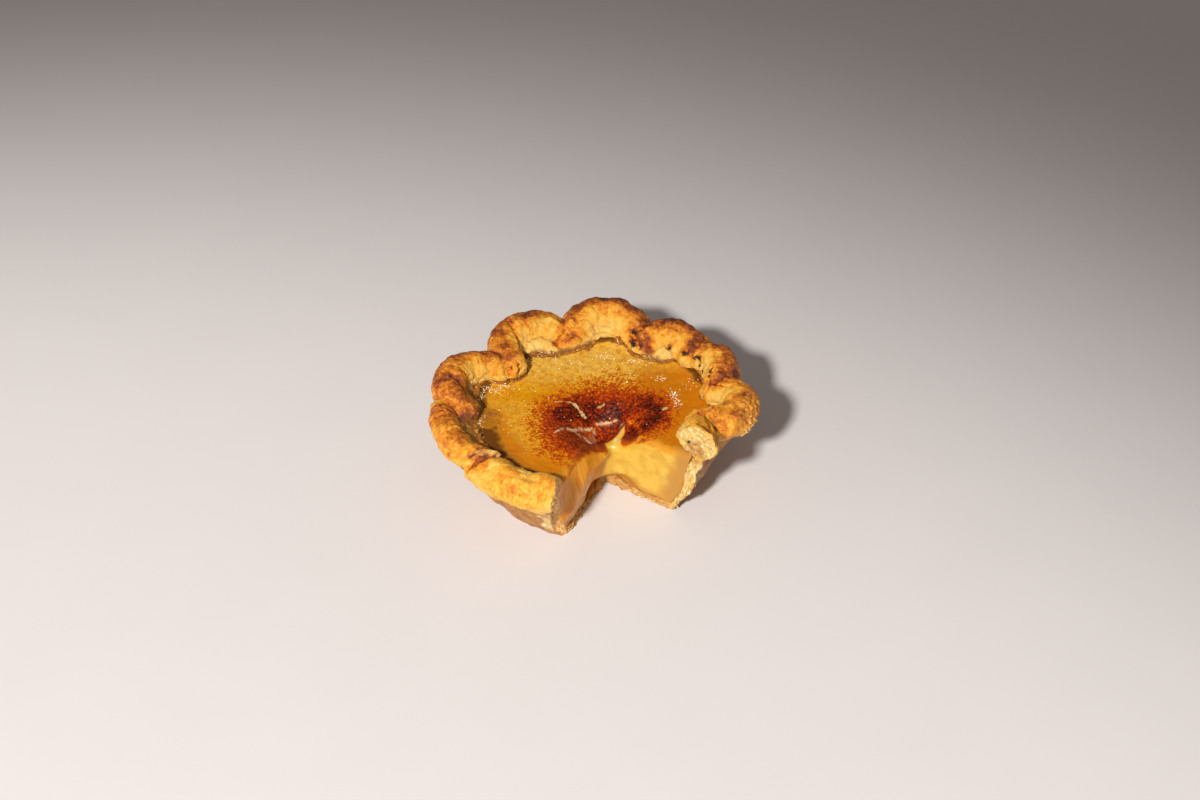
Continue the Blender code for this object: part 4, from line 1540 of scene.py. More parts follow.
def sugar_colours(mesh):
    """Numbers that the burnt sugar's material reads."""
    points, normals = vertex_arrays(mesh)
    fields = sugar_fields(points)
    flat = points - np.array(AXIS)
    radius, bearing = round_axis(points)
    left_side = eased((8.0 - flat[:, 0] / MM) / 8.0)
    by_cut = 1.0 - eased((fields["behind"] - 1.2 + 1.2 * fields["ragged"]) / 3.0)
    by_cut *= left_side * (1.0 - 0.8 * eased(fields["burn"] * 2.5))
    left = falling(np.abs(bearing + 66.0), 26.0, 16.0)
    turn = np.where(bearing > 0.0, bearing - 360.0, bearing)
    border = read_off(turn, SOAKED_AND_SHADED_BORDER)
    wavy = layered_noise(fields["level"], *SUGAR_STAINS) + 0.5 * fields["ragged"]
    # Syrup-soaked edge, wider at the left with painted shade from the rolls.
    edge = eased((radius / MM - border + wavy) / (3.0 + 2.5 * left))
    back = 1.2 * rising(flat[:, 1] / MM, 10.0, 20.0) * (1.0 - 0.6 * rising(flat[:, 0] / MM, 18.0, 14.0))
    back = 0.85 * np.maximum(back, 0.35 * left)
    paint(mesh, "burn", np.clip(fields["burn"], 0.0, 1.2))
    paint(mesh, "bare", np.clip(np.maximum(fields["bare"], fields["notch"]), 0.0, 1.0))
    paint(mesh, "chips", np.clip(fields["bare"], 0.0, 1.0))
    paint(mesh, "by_cut", by_cut)
    paint(mesh, "crack", fields["crack"])
    paint(mesh, "wedge", fields["wedge"])
    paint(mesh, "lobe", fields["lobe"])
    right = rising(flat[:, 0] / MM, 17.0, 10.0) * falling(flat[:, 1] / MM, 22.0, 12.0)
    front = falling(flat[:, 1] / MM, -10.0, 16.0) * rising(radius / MM, 33.0, 9.0)
    paint(mesh, "deep", np.clip(np.maximum(right, front) + 0.3 * wavy, 0.0, 1.0))
    paint(mesh, "back", back)
    paint(mesh, "syrup", edge)


GLAZE_YELLOW = (0.792, 0.458, 0.066)
GLAZE_GOLD = (0.651, 0.273, 0.002)
GLAZE_AMBER = (0.581, 0.15, 0.001)
BURNT_RED = (0.317, 0.028, 0.002)
BURNT_DARK = (0.026, 0.002, 0.002)
GLAZE_CLOUD = (0.757, 0.387, 0.007)
GLAZE_DEEP = (0.502, 0.132, 0.002)
GLAZE_MOTTLE = (0.528, 0.15, 0.001)
GLAZE_GRAIN = (0.836, 0.51, 0.011)
BURNT_ORANGE = (0.458, 0.066, 0.002)
BURNT_MAROON = (0.132, 0.009, 0.002)
LOBE_BROWN = (0.47, 0.18, 0.010)
# Pale custard showing through the chips, with a painted highlight mixed in.
CHIP_PALE_AND_HIGHLIGHT = (0.792, 0.581, 0.264)
WEDGE_PINK = (0.484, 0.15, 0.07)
# Painted highlight along the cracks.
SUGAR_CRACK_HIGHLIGHT = (0.81, 0.528, 0.264)
# Browns of the syrupy edge, which also carries painted shade at the left.
SYRUP_EDGE_AND_SHADE_STOPS = [(0.3, (0.44, 0.185, 0.014)), (0.65, (0.238, 0.084, 0.007)), (0.95, (0.114, 0.035, 0.004))]
CUT_EDGE_STOPS = [(0.40, (0.616, 0.282, 0.011)), (0.58, (0.44, 0.114, 0.003))]


def sugar_material(colours):
    """Burnt sugar: yellow glaze, burnt grain, painted highlights on cracks and chips, syrupy edge with
    painted shade.
    """
    make = Recipe("burnt_sugar")
    flat = make.scaled(make.place(), (1.0, 1.0, 0.2))
    cloud = make.noise(flat, 9.0 * MM, 3.0, 0.55)
    grain = make.noise(flat, 1.1 * MM, 5.0, 0.75)
    mottle = make.noise(flat, 2.4 * MM, 5.0, 0.7)
    glaze = make.mixed(make.painted("back"), colours.glaze_gold, colours.glaze_yellow)
    glaze = make.mixed(make.stepped(cloud, 0.50, 0.66, 0.0, 0.35), glaze, GLAZE_CLOUD)
    glaze = make.coated(glaze, "deep", 0.85, GLAZE_DEEP)
    glaze = make.mixed(make.stepped(mottle, 0.42, 0.66, 0.0, 0.6), glaze, GLAZE_MOTTLE)
    glaze = make.mixed(make.stepped(grain, 0.60, 0.72, 0.0, 0.30), glaze, GLAZE_GRAIN)

    burn = make.painted("burn")
    roused = make.stepped(burn, 0.0, 0.25, 0.25, 1.0)
    tone = make.sum(burn, make.product(make.sum(grain, -0.5), roused), 2.1)
    tone = make.sum(tone, make.product(make.sum(mottle, -0.5), roused), 1.2)
    tone = make.varied(tone, cloud, 0.25)
    burnt_stops = [(0.14, colours.glaze_gold), (0.23, colours.glaze_amber), (0.36, BURNT_ORANGE)]
    burnt_stops += [(0.60, colours.burnt_red), (0.82, BURNT_MAROON), (1.00, colours.burnt_dark)]
    body = make.mixed(make.stepped(tone, 0.10, 0.22), glaze, make.ramp(tone, burnt_stops))

    # Syrupy edge, with painted shade from the rolls at the left.
    wet_and_shade = make.varied(make.painted("syrup"), mottle, 0.8)
    body = make.mixed(make.stepped(wet_and_shade, 0.0, 0.5, 0.0, 0.9), body, make.ramp(wet_and_shade, SYRUP_EDGE_AND_SHADE_STOPS))
    body = make.coated(body, "lobe", 0.8, LOBE_BROWN)
    body = make.coated(body, "by_cut", 0.85, make.ramp(mottle, CUT_EDGE_STOPS))
    # Chips: pale custard with a painted highlight.
    bare = make.mixed(make.painted("chips"), colours.custard_yellow, CHIP_PALE_AND_HIGHLIGHT)
    body = make.coated(body, "bare", 0.96, bare)
    body = make.coated(body, "wedge", 0.62, WEDGE_PINK)
    # Painted highlight on the cracks.
    body = make.coated(body, "crack", 0.85, SUGAR_CRACK_HIGHLIGHT)
    fine = make.sum(make.noise(flat, 0.8 * MM, 4.0, 0.7), mottle, 0.8)
    return make.finish(
        Base_Color=body,
        Roughness=make.stepped(burn, 0.1, 0.6, 0.16, 0.24),
        Normal=make.bump(fine, 0.65, 0.35 * MM),
        Specular_IOR_Level=0.10,
        Subsurface_Weight=0.08,
        Subsurface_Radius=(1.0, 0.4, 0.05),
        Subsurface_Scale=0.8 * MM,
    )


# Custard: density of its surface, and how far it runs into its neighbours.
CUSTARD_VOXEL = 0.6 * MM
CUSTARD_TRIANGLES = 120000
CUSTARD_OVERLAP = 0.5 * MM
CUSTARD_OVER = 0.6 * MM
CUSTARD_UNDER = 0.1 * MM

# Patterns on the custard: (cell size, seed, layers), and their heights in mm on its cuts.
CUSTARD_WAVES = (9.0 * MM, 101, 1)
KNIFE_MARKS = (1.5 * MM, 102, 1)
CUSTARD_PORES = (1.4 * MM, 103, 1)
CUSTARD_LAYERS = (0.9 * MM, 104, 1)
CUSTARD_RAGGED = (5.0 * MM, 111, 2)
MARKS_UPRIGHT = 0.12
LEFT_WAVES = 0.6
RIGHT_WAVES = 0.5
MARK_HEIGHT = 0.16
SOAKED_LAYER_HEIGHT = 0.25
PORE_DEPTH = 0.18

# Ridge on the left cut where the custard stands out over its soaked foot: (reach, height) in mm.
RIDGE = [(0.0, 21.0), (10.0, 21.0), (16.0, 21.5), (23.0, 20.5), (30.0, 17.0), (39.0, 12.5), (48.0, 7.5)]
RIDGE_HEIGHT = 3.2
CORNER_RECESS = 3.0 * MM

CUSTARD_YELLOW = (0.651, 0.387, 0.044)
CUSTARD_DEEP = (0.598, 0.317, 0.026)
CUSTARD_SOAKED = (0.458, 0.207, 0.033)
CUSTARD_PALE = (0.722, 0.475, 0.075)
CUSTARD_AMBER = (0.581, 0.229, 0.007)
CUSTARD_DOTS = (0.546, 0.211, 0.011)
# Painted highlight along the ridge on the left cut.
RIDGE_HIGHLIGHT = (0.862, 0.51, 0.106)
# Painted highlight in the cracks of the notch.
CUSTARD_CRACK_HIGHLIGHT = (0.827, 0.634, 0.37)
# Knife marks on the left cut, in warmer, darker colours that are painted shade.
LEFT_MARKS_AND_SHADE_STOPS = [(0.30, (0.528, 0.141, 0.003)), (0.55, (0.792, 0.282, 0.009)), (0.75, (0.88, 0.44, 0.044))]
LEFT_FOOT_STOPS = [(0.35, (0.50, 0.22, 0.07)), (0.52, (0.76, 0.42, 0.16)), (0.66, (0.88, 0.60, 0.30))]
SINGED_STOPS = [(0.14, (0.581, 0.229, 0.005)), (0.32, (0.44, 0.079, 0.003)), (0.6, (0.176, 0.016, 0.003))]


def over_ridge(points):
    """Height of points over the ridge on the left cut, in mm."""
    return points[:, 2] / MM - read_off(LEFT_CUT.reach(points) / MM, RIDGE)


def ridge_out(points):
    """How far the left cut of the custard stands out of its plane, in mm."""
    reach = LEFT_CUT.reach(points) / MM
    up = over_ridge(points)
    bulge = np.where(up > 0.0, bump_at(up, 9.0), bump_at(up, 2.6))
    return (RIDGE_HEIGHT * bulge - 0.5) * eased(reach / 8.0) * falling(reach, 34.0, 12.0)


def custard_relief(points, normals):
    """New positions of the custard's points: soft edges, ridge, knife marks, pores and hollow corner."""
    reach = LEFT_CUT.reach(points)
    left = LEFT_CUT.share(points, normals, 1.2 * MM) * falling(reach / MM, 52.0, 2.0)
    right = RIGHT_CUT.share(points, normals, 1.2 * MM)
    waves = layered_noise(points, *CUSTARD_WAVES)
    upright = np.stack([reach, points[:, 2] * MARKS_UPRIGHT, 0.0 * reach], axis=1)
    marks = layered_noise(upright, *KNIFE_MARKS)
    layers = layered_noise(points * np.array([0.15, 0.15, 1.0]), *CUSTARD_LAYERS)
    low = falling(ridge_out(points), -0.2, 0.5)
    on_ridge = MARK_HEIGHT * marks * (1.0 - low)
    out_left = left * (LEFT_WAVES * waves + on_ridge + SOAKED_LAYER_HEIGHT * layers * low)
    pores = layered_noise(points, *CUSTARD_PORES)
    out_right = right * (RIGHT_WAVES * waves - PORE_DEPTH * rising(pores, 0.4, 0.3))
    wide = LEFT_CUT.share(points, normals, 6.0 * MM)
    out_left = out_left + ridge_out(points) * wide
    points = points + LEFT_CUT.outward[None, :] * out_left[:, None] * MM
    points = points + RIGHT_CUT.outward[None, :] * out_right[:, None] * MM
    behind, inward = away_from_line(points, hollow_line())
    corner = distance_from(points[:, :2], CUT_POINT[:2]) / MM
    under = (1.0 - eased((points[:, 2] / MM - 5.0 + waves) / 5.0)) * falling(corner, 9.0, 12.0)
    points[:, :2] += inward * (CORNER_RECESS * under * (1.0 - eased(behind / (5.0 * MM))))[:, None]
    behind = behind / MM
    flat = points[:, :2] / MM
    bare = rising(depth_inside(flat, NOTCH), -2.5, 2.0)
    upper = eased((points[:, 2] - FILLING_TOP + SAG_DEPTH + 4.0 * MM) / (3.0 * MM))
    raised = upper * np.maximum(falling(behind, 4.0, 3.0), bare)
    points[:, 2] += (SUGAR_TOP - FILLING_TOP - CUSTARD_OVER) * raised
    return soft_edge(points, SUGAR_TOP, EDGE_SOFTNESS)


def custard_colours(mesh):
    """Numbers that the custard's material reads."""
    points, normals = vertex_arrays(mesh)
    radius = round_axis(points)[0]
    ragged = layered_noise(points, *CUSTARD_RAGGED)
    by_bottom = 1.0 - eased((points[:, 2] / MM - 3.6 - ragged) / 5.5)
    edge = wall_inside(points)
    by_wall = eased(((radius - edge) / MM + 8.5 + 1.2 * ragged) / 7.0)
    paint(mesh, "soak", np.maximum(0.9 * by_bottom, by_wall))
    facing_left = rising(normals @ LEFT_CUT.outward, 0.25, 0.5)
    reach = LEFT_CUT.reach(points) / MM
    up = over_ridge(points)
    paint(mesh, "left", facing_left * rising(reach, 2.0, 10.0))
    paint(mesh, "foot", (1.0 - eased((up + 2.2 + 1.2 * ragged) / 3.2)) * rising(reach, 6.0, 12.0))
    paint(mesh, "ridge", eased(ridge_out(points) / RIDGE_HEIGHT - 0.4) * eased(reach / 6.0))
    paint(mesh, "marks", np.stack([reach * MM, points[:, 2] * MARKS_UPRIGHT, 0.0 * radius], axis=1))
    under_top = (top_at(points, SUGAR_TOP) - points[:, 2]) / MM + 0.8 * ragged
    over = sugar_fields(points * np.array([1.0, 1.0, 0.0]))
    covered = 1.0 - over["notch"]
    paint(mesh, "by_top", (1.0 - eased(under_top / 4.2)) * covered)
    paint(mesh, "burn", over["burn"] * falling(under_top, 0.8, 2.8) * covered)
    paint(mesh, "crack", over["crack"] * over["notch"])


def custard_material(colours):
    """Soft baked custard, soaked by the dough, with pores and knife marks; painted shade and highlights on
    its cut.
    """
    make = Recipe("baked_custard")
    place = make.place()
    cloud = make.noise(place, 5.0 * MM, 3.0, 0.5)
    fine = make.noise(place, 0.7 * MM, 2.0, 0.6)
    body_stops = [(0.28, colours.custard_deep), (0.48, colours.custard_yellow), (0.68, CUSTARD_PALE)]
    body = make.ramp(make.varied(cloud, fine, 0.25), body_stops)
    body = make.coated(body, "by_top", 0.9, CUSTARD_AMBER)
    body = make.coated(body, "soak", 0.88, colours.custard_soaked)
    marks = make.noise(make.painted("marks", "Vector"), 2.6 * MM, 4.0, 0.6, 0.3)
    # Left cut: knife marks in painted shade colours.
    body = make.coated(body, "left", 0.85, make.ramp(marks, LEFT_MARKS_AND_SHADE_STOPS))
    layers = make.noise(make.scaled(place, (0.2, 0.2, 1.0)), 0.55 * MM, 3.0, 0.65)
    foot = make.product(make.product(make.painted("left"), make.painted("foot")), 0.85)
    body = make.mixed(foot, body, make.ramp(layers, LEFT_FOOT_STOPS))
    dots = make.stepped(make.cells(place, 3.4 * MM), 0.12, 0.05)
    body = make.mixed(make.product(dots, 0.5), body, CUSTARD_DOTS)
    # Painted highlight on the ridge.
    body = make.coated(body, "ridge", 0.45, RIDGE_HIGHLIGHT)
    burnt = make.varied(make.painted("burn"), cloud, 0.8)
    body = make.mixed(make.stepped(burnt, 0.08, 0.3), body, make.ramp(burnt, SINGED_STOPS))
    # Painted highlight on the cracks.
    body = make.coated(body, "crack", 0.9, CUSTARD_CRACK_HIGHLIGHT)
    pores = make.stepped(make.cells(place, 1.5 * MM), 0.08, 0.25)
    return make.finish(
        Base_Color=body,
        Roughness=0.33,
        Normal=make.bump(make.sum(fine, pores, 0.25), 0.22, 0.15 * MM),
        Specular_IOR_Level=0.35,
        Subsurface_Weight=0.5,
        Subsurface_Radius=(1.0, 0.5, 0.10),
        Subsurface_Scale=2.2 * MM,
    )


# Sugar crystals and bubbles, in clusters: (place in mm, spread in mm, number).
CRYSTAL_CLUSTERS = [
    ((-51.0, 6.9), (3.0, 3.0), 40), ((-46.0, 11.5), (6.0, 3.0), 90), ((-40.4, 15.0), (4.5, 2.4), 60),
    ((-50.5, -11.0), (2.6, 6.6), 44), ((-49.3, -21.1), (2.6, 1.2), 14), ((-43.5, -31.0), (3.0, 1.5), 5),
    ((-30.0, -28.0), (7.0, 4.0), 5), ((-34.0, 32.0), (7.0, 2.0), 50), ((-22.8, 35.6), (9.0, 2.0), 60),
    ((-10.0, 31.0), (8.0, 3.0), 24), ((4.6, 35.6), (5.0, 2.6), 52), ((20.0, 32.0), (10.0, 4.0), 60),
    ((29.4, 20.4), (3.6, 2.2), 34), ((35.2, 9.0), (2.6, 4.5), 76), ((37.6, 3.4), (2.2, 3.0), 34),
    ((42.0, 14.0), (4.0, 5.0), 22), ((34.0, 33.0), (5.0, 1.6), 18), ((-33.0, 8.0), (12.0, 9.0), 26),
    ((-38.0, -12.0), (8.0, 10.0), 18), ((0.0, 24.0), (26.0, 8.0), 36), ((5.0, -2.0), (26.0, 14.0), 18),
]
CRYSTAL_RADIUS = (0.12 * MM, 0.32 * MM)
CRYSTAL_SHARE = 0.7
CRYSTAL_SEEDS = (301, 302)
CRYSTAL_FALL_FROM = 80.0 * MM
CRYSTAL_HIGHEST = 43.0 * MM
CRYSTAL_STOPS = [(0.3, (0.98, 0.80, 0.40)), (0.7, (1.0, 0.95, 0.74))]


def surface_tree(names):
    """Search tree over the visible surfaces of some finished pieces."""
    points = []
    faces = []
    for name in names:
        mesh = bpy.data.objects[name].data
        start = len(points)
        points += [vertex.co.copy() for vertex in mesh.vertices]
        faces += [[start + number for number in face.vertices] for face in mesh.polygons]
    return BVHTree.FromPolygons(points, faces)


def grains(name, spots, flatness, seed):
    """Many small uneven grains, at (place, radius) spots, as one mesh."""
    build = bmesh.new()
    bmesh.ops.create_icosphere(build, subdivisions=1, radius=1.0)
    ball = np.array([tuple(vertex.co) for vertex in build.verts])
    sides = [[vertex.index for vertex in face.verts] for face in build.faces]
    build.free()
    draw = np.random.default_rng(seed)
    points = []
    faces = []
    for place, radius in spots:
        turn = draw.normal(size=4)
        turn /= np.linalg.norm(turn)
        w, x, y, z = turn
        spin = np.array(
            [
                [1 - 2 * (y * y + z * z), 2 * (x * y - w * z), 2 * (x * z + w * y)],
                [2 * (x * y + w * z), 1 - 2 * (x * x + z * z), 2 * (y * z - w * x)],
                [2 * (x * z - w * y), 2 * (y * z + w * x), 1 - 2 * (x * x + y * y)],
            ]
        )
        shape = ball * draw.uniform(0.75, 1.2, size=(len(ball), 1)) * draw.uniform(0.7, 1.3, size=3)
        shape = shape @ spin.T * radius
        shape[:, 2] *= flatness
        start = len(points)
        points += [tuple(corner) for corner in shape + np.array(place)]
        faces += [[start + number for number in side] for side in sides]
    return mesh_of(name, points, faces)


def crystal_spots(tree):
    """Places and sizes of the sugar crystals, resting on the sugar and the soaked dough."""
    draw = np.random.default_rng(CRYSTAL_SEEDS[0])
    spots = []
    for (x, y), (spread_x, spread_y), number in CRYSTAL_CLUSTERS:
        for _ in range(round(CRYSTAL_SHARE * number)):
            at = Vector((x + draw.normal() * spread_x * 0.5, y + draw.normal() * spread_y * 0.5, 0.0)) * MM
            radius = draw.uniform(*CRYSTAL_RADIUS)
            if LEFT_CUT.stand_out(np.array(at)) > -MM and RIGHT_CUT.stand_out(np.array(at)) > -MM:
                continue
            over = at + Vector((0.0, 0.0, CRYSTAL_FALL_FROM))
            place, normal, face, away = tree.ray_cast(over, Vector((0.0, 0.0, -1.0)))
            if place is None or place.z > CRYSTAL_HIGHEST:
                continue
            spots.append((place + normal * radius * 0.15, radius))
    return spots


def crystal_material():
    """Clear sugar grains that catch the light."""
    make = Recipe("sugar_crystals")
    return make.finish(
        Base_Color=make.ramp(make.noise(make.place(), 1.5 * MM, 1.0), CRYSTAL_STOPS),
        Roughness=0.12,
        Specular_IOR_Level=0.8,
        Coat_Weight=0.6,
        Coat_Roughness=0.05,
        Subsurface_Weight=0.3,
        Subsurface_Radius=(1.0, 0.8, 0.5),
        Subsurface_Scale=0.5 * MM,
    )


# Syrup that boiled up along the crust: (bearing, half thickness in mm), joined evenly.
SYRUP_BEAD = [
    (-320.0, 0.5), (-300.0, 0.4), (-270.0, 0.35), (-250.0, 0.5), (-232.0, 0.8),
    (-222.0, 0.7), (-206.0, 1.1), (-196.0, 1.5), (-186.0, 0.9), (-172.0, 1.3),
    (-160.0, 0.9), (-146.0, 0.7), (-130.0, 0.5), (-112.0, 0.8), (-98.0, 1.3),
    (-84.0, 1.5), (-70.0, 1.0), (-55.0, 0.7), (-40.0, 0.45), (-22.0, 0.3),
]
SYRUP_STEP = 0.75
SYRUP_VOXEL = 0.28 * MM

# Lump of bubbles in the syrup at the left: middle and reach in mm, and number of bubbles.
SYRUP_LUMP = ((-46.8, -5.6), 2.2)
SYRUP_LUMP_BUBBLES = 9
SYRUP_SEEDS = (321, 322, 323)
SYRUP_STOPS = [(0.30, (0.18, 0.052, 0.006)), (0.55, (0.38, 0.13, 0.016)), (0.80, (0.64, 0.29, 0.045))]


def syrup_points(tree):
    """Path of the bead where the sugar meets the crust, with its half thickness."""
    marks = sorted(SYRUP_BEAD)
    places = []
    bearing = marks[0][0] + 1.0
    draw = np.random.default_rng(SYRUP_SEEDS[0])
    while bearing < marks[-1][0]:
        half = float(read_off(bearing, marks)) * MM
        inside = on_bearing(bearing, FILLING_RADIUS - 17.0 * MM, SUGAR_TOP + 1.4 * MM)
        hit = tree.ray_cast(inside, on_direction(bearing))[0]
        if hit is not None:
            reach = (hit - AXIS).to_2d().length - 0.2 * half
            half *= 1.0 + 0.35 * draw.uniform(-1.0, 1.0)
            height = SUGAR_TOP + edge_rise(reach / FILLING_RADIUS)
            places.append((on_bearing(bearing, reach, height + 0.25 * half), half))
        bearing += SYRUP_STEP
    return places


def syrup_material():
    """Brown boiled syrup, glossy and bubbly."""
    make = Recipe("boiled_syrup")
    place = make.place()
    bubbles = make.stepped(make.cells(place, 0.8 * MM), 0.0, 0.5)
    return make.finish(
        Base_Color=make.ramp(make.noise(place, 1.6 * MM, 3.0, 0.6), SYRUP_STOPS),
        Roughness=0.14,
        Normal=make.bump(bubbles, 0.35, 0.15 * MM),
        Specular_IOR_Level=0.4,
        Coat_Weight=0.15,
        Coat_Roughness=0.06,
        Subsurface_Weight=0.2,
        Subsurface_Radius=(1.0, 0.4, 0.1),
        Subsurface_Scale=1.0 * MM,
    )


# Crumbs on the cut edges of the dough and on the fold that broke: (start and end in mm, spread in mm,
# number).
CRUMB_LINES = [
    ((9.0, -13.4, 0.8), (34.0, -29.2, 0.9), (0.9, 0.9, 0.5), 60),
    ((2.0, -15.6, 0.8), (-12.4, -45.0, 0.9), (0.9, 0.9, 0.5), 46),
    ((34.0, -29.2, 2.0), (43.0, -35.0, 22.0), (0.8, 0.8, 1.0), 40),
    ((-13.0, -47.0, 3.0), (-17.6, -56.0, 22.0), (0.6, 0.6, 1.0), 26),
    ((66.0, -14.0, 36.0), (69.0, -22.0, 40.0), (2.4, 2.4, 4.0), 70),
]
CRUMB_RADIUS = (0.22 * MM, 0.62 * MM)
CRUMB_SEEDS = (331, 332)
CRUMB_STOPS = [(0.35, (0.50, 0.22, 0.05)), (0.52, (0.78, 0.48, 0.16)), (0.68, (0.92, 0.70, 0.34))]


def crumb_spots(tree):
    """Places and sizes of the crumbs, each on the dough's surface."""
    draw = np.random.default_rng(CRUMB_SEEDS[0])
    spots = []
    for start, end, spread, number in CRUMB_LINES:
        for _ in range(number):
            at = np.array(start) + (np.array(end) - np.array(start)) * draw.uniform()
            at = Vector(at + draw.normal(size=3) * np.array(spread)) * MM
            radius = draw.uniform(*CRUMB_RADIUS)
            place, normal, face, away = tree.find_nearest(at)
            place = place + normal * radius * 0.25
            if place.z > radius:
                spots.append((place, radius))
    return spots


def crumb_material():
    """Toasted crumbs of dough."""
    make = Recipe("dough_crumbs")
    tone = make.ramp(make.noise(make.place(), 2.0 * MM, 2.0), CRUMB_STOPS)
    rough = make.noise(make.place(), 0.4 * MM, 2.0)
    return make.finish(Base_Color=tone, Roughness=0.75, Normal=make.bump(rough, 0.5, 0.1 * MM))


class PieSizes(bpy.types.PropertyGroup):
    """Sizes that a user would change."""

    dough_triangles: IntProperty(
        name="Dough triangles",
        description="Triangles of the finished dough",
        default=DOUGH_TRIANGLES,
        min=20000,
    )
    custard_triangles: IntProperty(
        name="Custard triangles", description="Triangles of the custard", default=CUSTARD_TRIANGLES, min=10000
    )
    camera_distance: FloatProperty(
        name="Camera distance", description="From the camera to its aim", default=1.06, unit="LENGTH"
    )
    camera_elevation: FloatProperty(
        name="Camera elevation",
        description="Height angle of the camera",
        default=math.radians(41.0),
        subtype="ANGLE",
    )


def colour_property(name, description, default):
    """Colour that a user can change."""
    return FloatVectorProperty(
        name=name, description=description, default=default, size=3, min=0.0, max=1.0, subtype="COLOR"
    )


class PieColours(bpy.types.PropertyGroup):
    """Colours of the dough, the custard and the burnt sugar."""

    dough_pale: colour_property("Pale dough", "Least baked dough", DOUGH_PALE)
    dough_gold: colour_property("Golden dough", "Evenly baked dough", DOUGH_GOLD)
    dough_orange: colour_property("Orange dough", "Well baked dough", DOUGH_ORANGE)
    dough_brown: colour_property("Brown dough", "Toasted dough", DOUGH_BROWN)
    cut_cream: colour_property("Cut dough", "Inside of the dough", CUT_CREAM)
    soaked_brown: colour_property("Soaked dough", "Dough soaked with syrup", SOAKED_BROWN)
    custard_yellow: colour_property("Custard", "Inside of the custard", CUSTARD_YELLOW)
    custard_deep: colour_property("Deep custard", "Darker parts of the custard", CUSTARD_DEEP)
    custard_soaked: colour_property("Soaked custard", "Custard by the dough", CUSTARD_SOAKED)
    glaze_yellow: colour_property("Yellow glaze", "Thin clear sugar", GLAZE_YELLOW)
    glaze_gold: colour_property("Golden glaze", "Golden sugar", GLAZE_GOLD)
    glaze_amber: colour_property("Amber glaze", "Amber sugar", GLAZE_AMBER)
    burnt_red: colour_property("Burnt red", "Red-brown burnt sugar", BURNT_RED)
    burnt_dark: colour_property("Burnt dark", "Darkest burnt sugar", BURNT_DARK)
    floor: colour_property("Floor", "Pale floor", (0.682, 0.638, 0.612))


class PIE_OT_dough(bpy.types.Operator):
    """Make the fluted crust"""

    bl_idname = "pie.dough"
    bl_label = "Dough"

    def execute(self, context):
        dough = dough_blank()
        reshaped(dough, dough_relief)
        thinned(dough, context.scene.pie_sizes.dough_triangles)
        dough_colours(dough.data)
        finished(dough, dough_material(context.scene.pie_colours), ["crust"])
        return {"FINISHED"}


class PIE_OT_custard(bpy.types.Operator):
    """Make the custard filling"""

    bl_idname = "pie.custard"
    bl_label = "Custard"

    def execute(self, context):
        top = FILLING_TOP + CUSTARD_OVER
        custard = filling_body("baked_custard", CRUST_BOTTOM - CUSTARD_UNDER, top, CUSTARD_OVERLAP)
        boolean(custard, hollow_slice())
        remeshed(custard, CUSTARD_VOXEL, 3)
        reshaped(custard, custard_relief)
        thinned(custard, context.scene.pie_sizes.custard_triangles)
        custard_colours(custard.data)
        finished(custard, custard_material(context.scene.pie_colours), ["custard"])
        return {"FINISHED"}


class PIE_OT_sugar(bpy.types.Operator):
    """Make the burnt-sugar top"""

    bl_idname = "pie.sugar"
    bl_label = "Burnt sugar"

    def execute(self, context):
        rings = [number / SUGAR_RINGS for number in range(SUGAR_RINGS + 1)]
        bottom = FILLING_TOP + GAP
        sections = []
        for bearing in bearings(SUGAR_BEARING_STEP):
            under = [filling_point(bearing, share, bottom, SUGAR_OVERLAP) for share in FILLING_RINGS]
            over = [filling_point(bearing, share, SUGAR_TOP, SUGAR_OVERLAP) for share in reversed(rings)]
            sections.append(under + over)
        sugar = lofted("burnt_sugar", sections)
        boolean(sugar, hollow_slice())
        reshaped(sugar, sugar_relief)
        sugar_colours(sugar.data)
        finished(sugar, sugar_material(context.scene.pie_colours), ["caramel"])
        return {"FINISHED"}


class PIE_OT_syrup(bpy.types.Operator):
    """Make the syrup that boiled up along the crust"""

    bl_idname = "pie.syrup"
    bl_label = "Boiled syrup"

    def execute(self, context):
        places = syrup_points(surface_tree(["pie_crust"]))
        bead = tube("bead", [place for place, half in places], [half for place, half in places], 3)
        draw = np.random.default_rng(SYRUP_SEEDS[1])
        spots = []
        for place, half in places:
            for _ in range(2):
                shift = Vector(draw.normal(size=3)) * half * 0.5
                spots.append((place + shift, half * draw.uniform(0.45, 0.8)))
        (x, y), reach = SYRUP_LUMP
        for _ in range(SYRUP_LUMP_BUBBLES):
            shift = draw.normal(size=2) * reach * 0.5
            spots.append((Vector(((x + shift[0]) * MM, (y + shift[1]) * MM, SUGAR_TOP + 0.6 * MM)), 1.3 * MM))
        bubbles = grains("bubbles", spots, 0.8, SYRUP_SEEDS[2])
        syrup = remeshed(joined("boiled_syrup", [bead, bubbles]), SYRUP_VOXEL, 2)
        finished(syrup, syrup_material())
        return {"FINISHED"}


class PIE_OT_crystals(bpy.types.Operator):
    """Scatter the sugar crystals"""

    bl_idname = "pie.crystals"
    bl_label = "Sugar crystals"

    def execute(self, context):
        spots = crystal_spots(surface_tree(["burnt_sugar", "pie_crust"]))
        crystals = grains("sugar_crystals", spots, 0.8, CRYSTAL_SEEDS[1])
        finished(crystals, crystal_material())
        crystals.data.shade_flat()
        return {"FINISHED"}


class PIE_OT_crumbs(bpy.types.Operator):
    """Scatter crumbs on the cut edges of the dough"""

    bl_idname = "pie.crumbs"
    bl_label = "Crumbs"

    def execute(self, context):
        crumbs = grains("dough_crumbs", crumb_spots(surface_tree(["pie_crust"])), 1.0, CRUMB_SEEDS[1])
        finished(crumbs, crumb_material())
        crumbs.data.shade_flat()
        return {"FINISHED"}


